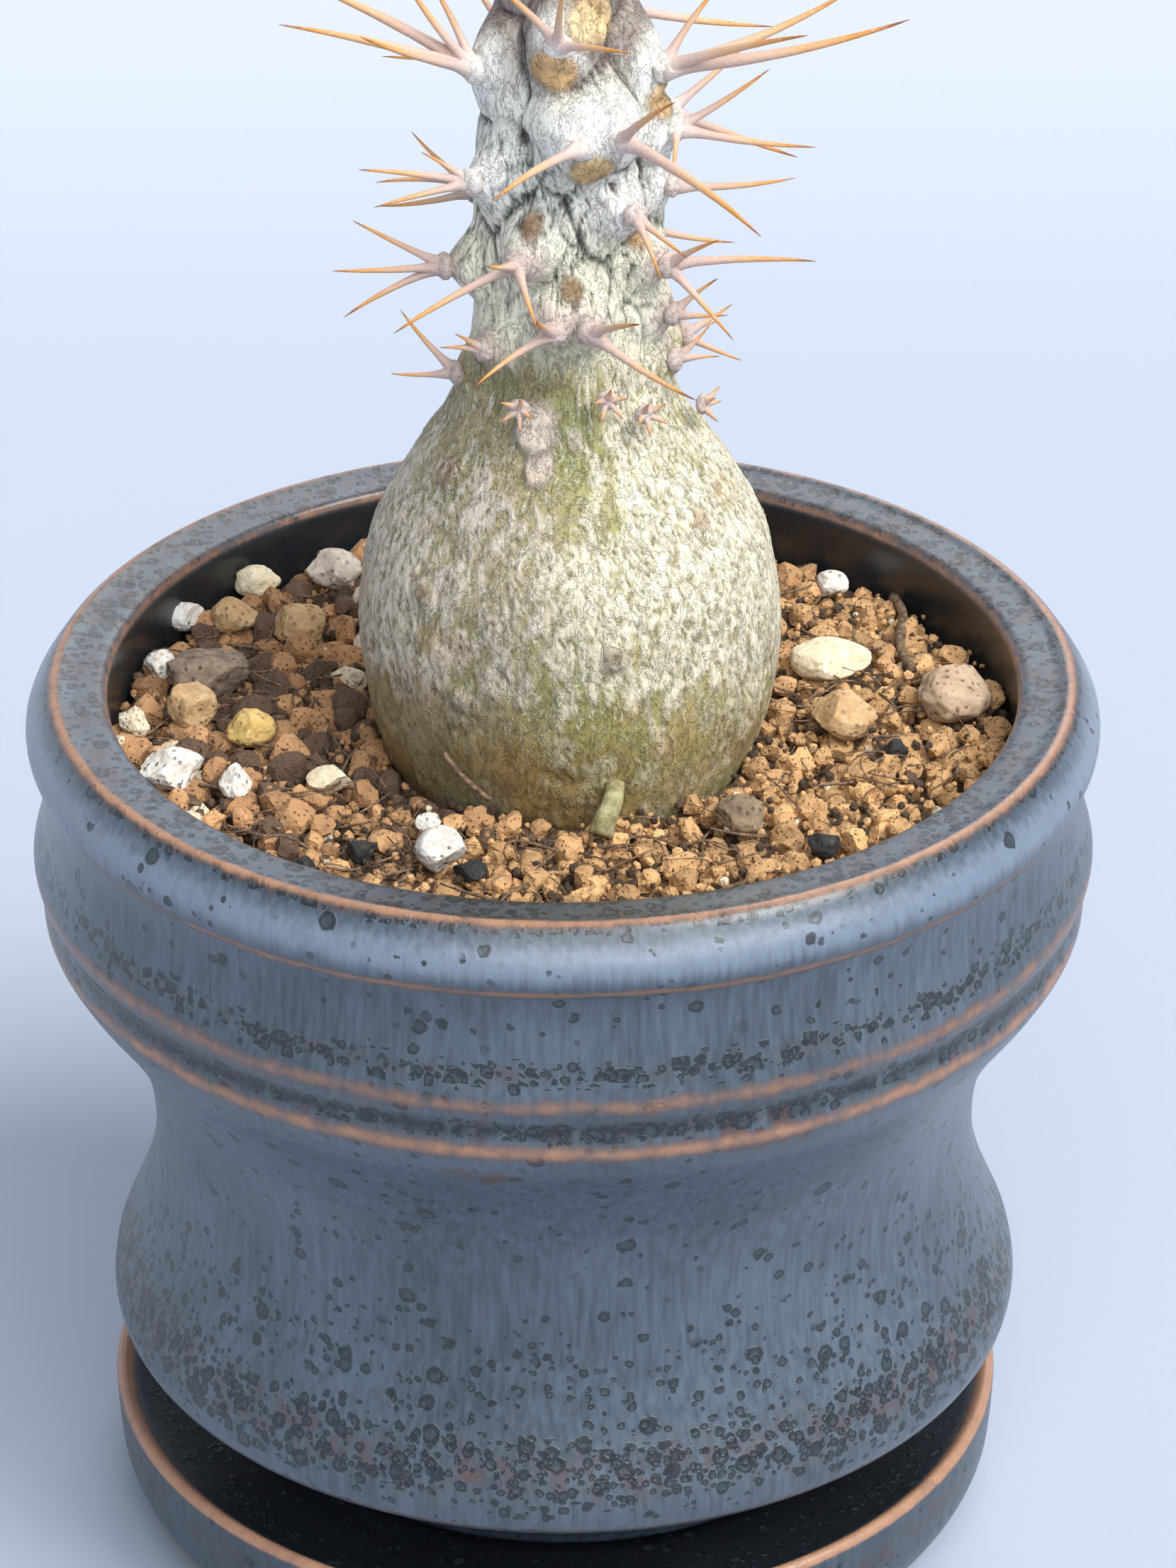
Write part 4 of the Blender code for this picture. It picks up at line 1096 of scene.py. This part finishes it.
settle(ring_surface("plant_skin", body, attributes={"tone": tone}), "stem_skin",
       finish("plant_skin", plant_skin, Subsurface_Weight=0.06, Subsurface_Scale=0.0015),
       "plant_body")

# ---------------------------------------------------------------------------------------------
# Spines: hard woody spikes that grow two to five together from a felted cushion. They are grey
# and pink at the foot, tan along the shaft and orange to dark at the point.

SPINE_RINGS = 26
SPINE_SIDES = 12


def spine_horn(wire, place):
    """Horn of a spine: colour runs along it, with lengthwise fibres and felt at the foot."""
    along = wire.read("along")
    felt = wire.read("felt")
    grain = wire.noise(place, 0.0005, 4, 0.65)
    stain = wire.noise(place, 0.0024, 3, 0.6)
    key = along + (stain - 0.5) * 0.35
    colour = wire.add("ValToRGB", {"stops": [(0.0, (0.54, 0.40, 0.37)), (0.30, (0.62, 0.43, 0.35)),
                                             (0.55, (0.68, 0.40, 0.21)), (0.80, (0.69, 0.29, 0.06)),
                                             (1.0, (0.20, 0.06, 0.02))]}, {0: key})
    _, _, z = place.parts()
    fresh = z.clear(RIM + WOOLLY_FROM, RIM + WOOLLY_FROM + 0.0055)
    tuft = grain.clear(0.3, 0.6)
    old_wool = wire.blend(rgb(0.40, 0.29, 0.26), rgb(0.62, 0.52, 0.47), tuft)
    new_wool = wire.blend(rgb(0.62, 0.54, 0.46), rgb(0.86, 0.84, 0.80), tuft)
    colour = wire.layers(colour, (rgb(0.66, 0.56, 0.50), grain.clear(0.5, 0.75) * 0.45),
                         (wire.blend(old_wool, new_wool, fresh), felt))
    return colour, 0.48 + grain * 0.2 + felt * 0.3, grain * 0.00009 + felt * grain * 0.0003


def spine_cluster(bearing, height, reach, tips, scale, seed):
    """Spines and their felted cushion as tubes, with the attributes along and felt.

    Each spine bends a little on its way, tapers as a power of what is left of its length, and
    flares where it leaves the cushion, which is a flattened ball.
    """
    dice = np.random.default_rng(seed)
    way = math.radians(bearing)
    out = np.array([math.cos(way), math.sin(way), 0.0])
    centre = np.array([PLANT_X, 0, RIM + height * MM])
    centre = centre + out * (reach + 0.3 + 0.9 * scale) * MM
    tips = np.array(tips, float) * MM
    length = np.linalg.norm(tips, axis=1)[:, None]
    t = np.linspace(1, 0, SPINE_RINGS)[None, :]
    bend = unit(np.cross(tips, dice.normal(size=tips.shape))) * length
    paths = centre - out * 0.0011 * scale + (tips + out * 0.0011 * scale)[:, None] * t[..., None]
    paths = paths + bend[:, None] * (t * (1 - t) * 0.16)[..., None]
    foot = (0.00027 + 0.023 * length) * (0.6 + 0.4 * scale)
    radii = foot * (0.94 * (1 - t) ** 0.72 + 0.03)
    radii = radii + foot * 0.85 * np.exp(-(t * length / 0.0014) ** 2)
    radii = radii * (1 + 0.05 * noise(paths, 0.0012, seed))
    grids = tubes(paths, radii, SPINE_SIDES)
    dome = np.linspace(0, np.pi, SPINE_RINGS)[:, None]
    turn_angle = around(SPINE_SIDES)[None, :]
    side = np.array([-out[1], out[0], 0.0])
    ball = (np.cos(dome) * 0.9)[..., None] * np.array([0, 0, 1.0])
    ball = ball + (np.sin(dome) * np.cos(turn_angle))[..., None] * out * 0.60
    ball = ball + (np.sin(dome) * np.sin(turn_angle))[..., None] * side
    wide = 0.0012 * scale + 0.00010 * len(tips)
    ball = ball * wide * (1 + 0.10 * noise(ball, 0.3, seed))[..., None]
    ball = ball + centre - out * 0.0010 * scale
    grids = np.concatenate([grids, ball[None]])
    along = np.repeat(np.repeat(t, len(tips), 0)[..., None], SPINE_SIDES, 2)
    felt = np.exp(-(along * length[..., None] / 0.0016) ** 2) * 0.6
    along = np.concatenate([along, np.zeros((1, SPINE_RINGS, SPINE_SIDES))])
    felt = np.concatenate([felt, np.ones((1, SPINE_RINGS, SPINE_SIDES))])
    return grids, {"along": along, "felt": felt}


def settle_cluster(node, seed, *cluster):
    """A cluster of spines in place of its solid."""
    grids, values = spine_cluster(*cluster, seed)
    settle(ring_surface(node + "_horn", grids, attributes=values), "spine_horn",
           finish(node + "_horn", spine_horn), node)


for seed, (node, bearing, height_mm, reach, tips) in enumerate(CUSHIONS):
    settle_cluster(node, 200 + seed, bearing, height_mm, reach, tips, 1.0)
# A star is five short spines that lean evenly all round from one small cushion.
for seed, (node, bearing, height_mm, reach) in enumerate(STARS):
    way = math.radians(bearing)
    tips = []
    for k in range(5):
        lean = math.radians(72 * k + 20 * seed)
        tips.append((1.0 * math.cos(way) - 1.9 * math.sin(way) * math.cos(lean),
                     1.0 * math.sin(way) + 1.9 * math.cos(way) * math.cos(lean),
                     1.9 * math.sin(lean)))
    settle_cluster(node, 300 + seed, bearing, height_mm, reach, tips, 0.55)

# Young bristles that crowd the growing tip, in nine pairs.
grids, values = [], []
for k in range(9):
    bearing, tier = 40 * k + 15, k % 3
    way = math.radians(bearing)
    lean = 1.6 + 0.7 * tier
    tips = [(lean * math.cos(way), lean * math.sin(way), 4.2 - 0.5 * tier),
            (2.4 * math.cos(way + 0.9), 2.4 * math.sin(way + 0.9), 2.6)]
    made, kept = spine_cluster(bearing, 81.6 + 0.9 * tier, 3.6 - 0.5 * tier, tips, 0.6, 400 + k)
    grids.append(made)
    values.append(kept)
joined = {key: np.concatenate([one[key] for one in values]) for key in ("along", "felt")}
settle(ring_surface("crown_bristles", np.concatenate(grids), attributes=joined), "spine_horn",
       finish("crown_bristles_horn", spine_horn))

# ---------------------------------------------------------------------------------------------
# Studio: a pale floor that curves up into a pale wall all round, three soft suns from the right,
# the front and the back, and a long lens that looks down on the plant.

CAMERA_LENS = 130.2
CAMERA_HEIGHT = 0.2698
CAMERA_BACK = 0.5148
CAMERA_SIDE = 0.00256
CAMERA_TILT = 28.84


def floor_tone(wire, place):
    """Pale matt floor with a trace of mottling, and painted light that makes it lighter towards the
    back.
    """
    _, back, _ = place.parts()
    # Painted light: the floor's colour grows lighter towards the back.
    colour = wire.layers(rgb(0.392, 0.442, 0.548),
                         (rgb(0.408, 0.460, 0.562), wire.noise(place, 0.4)),
                         (rgb(0.490, 0.525, 0.605), back.clear(0.26, 0.46)))
    return colour, 0.85, 0.0


# Outline of the floor: flat, then up into the wall, and back down behind and underneath.
floor_line = smooth_curve([(0.01, 0.0), (1.5, 0.0), (2.6, 0.0), (3.1, 0.10), (3.4, 0.45),
                           (3.5, 1.6)], 0.08)
floor_line = np.vstack([floor_line, [(3.6, 1.6), (3.6, -0.02), (0.01, -0.02)]])
floor = ring_surface("floor", turn(floor_line, 96))
floor.data.materials.append(finish("floor_tone", floor_tone))

# Suns as (name, direction they shine from, width in degrees, strength, colour).
SUNS = (("key", (0.52, -0.30, 0.72), 30, 3.2, (1.0, 0.99, 0.96)),
        ("front", (0.14, -0.75, 0.75), 50, 2.15, (0.96, 0.98, 1.0)),
        ("back", (0.20, 0.80, 0.65), 34, 0.85, (0.97, 0.98, 1.0)))
for name, place, width, strength, colour in SUNS:
    lamp = bpy.data.lights.new(name, "SUN")
    lamp.angle = math.radians(width)
    lamp.energy = strength
    lamp.color = colour
    sun = link(name, lamp)
    x, y, z = place
    sun.location = place
    sun.rotation_euler = (math.atan2(math.hypot(x, y), z), 0, math.atan2(x, -y))

world = bpy.data.worlds.new("studio")
world.use_nodes = True
sky = world.node_tree.nodes["Background"]
sky.inputs["Color"].default_value = rgb(0.92, 0.96, 1.0)
sky.inputs["Strength"].default_value = 0.29
bpy.context.scene.world = world
bpy.context.scene.view_settings.view_transform = "Standard"

camera_data = bpy.data.cameras.new("camera")
camera_data.sensor_width = 36.0
camera_data.lens = CAMERA_LENS
camera_data.clip_start = 0.01
camera = link("camera", camera_data)
camera.location = (CAMERA_SIDE, -CAMERA_BACK, RIM + CAMERA_HEIGHT)
camera.rotation_euler = (math.radians(90 - CAMERA_TILT), 0, 0)
bpy.context.scene.camera = camera
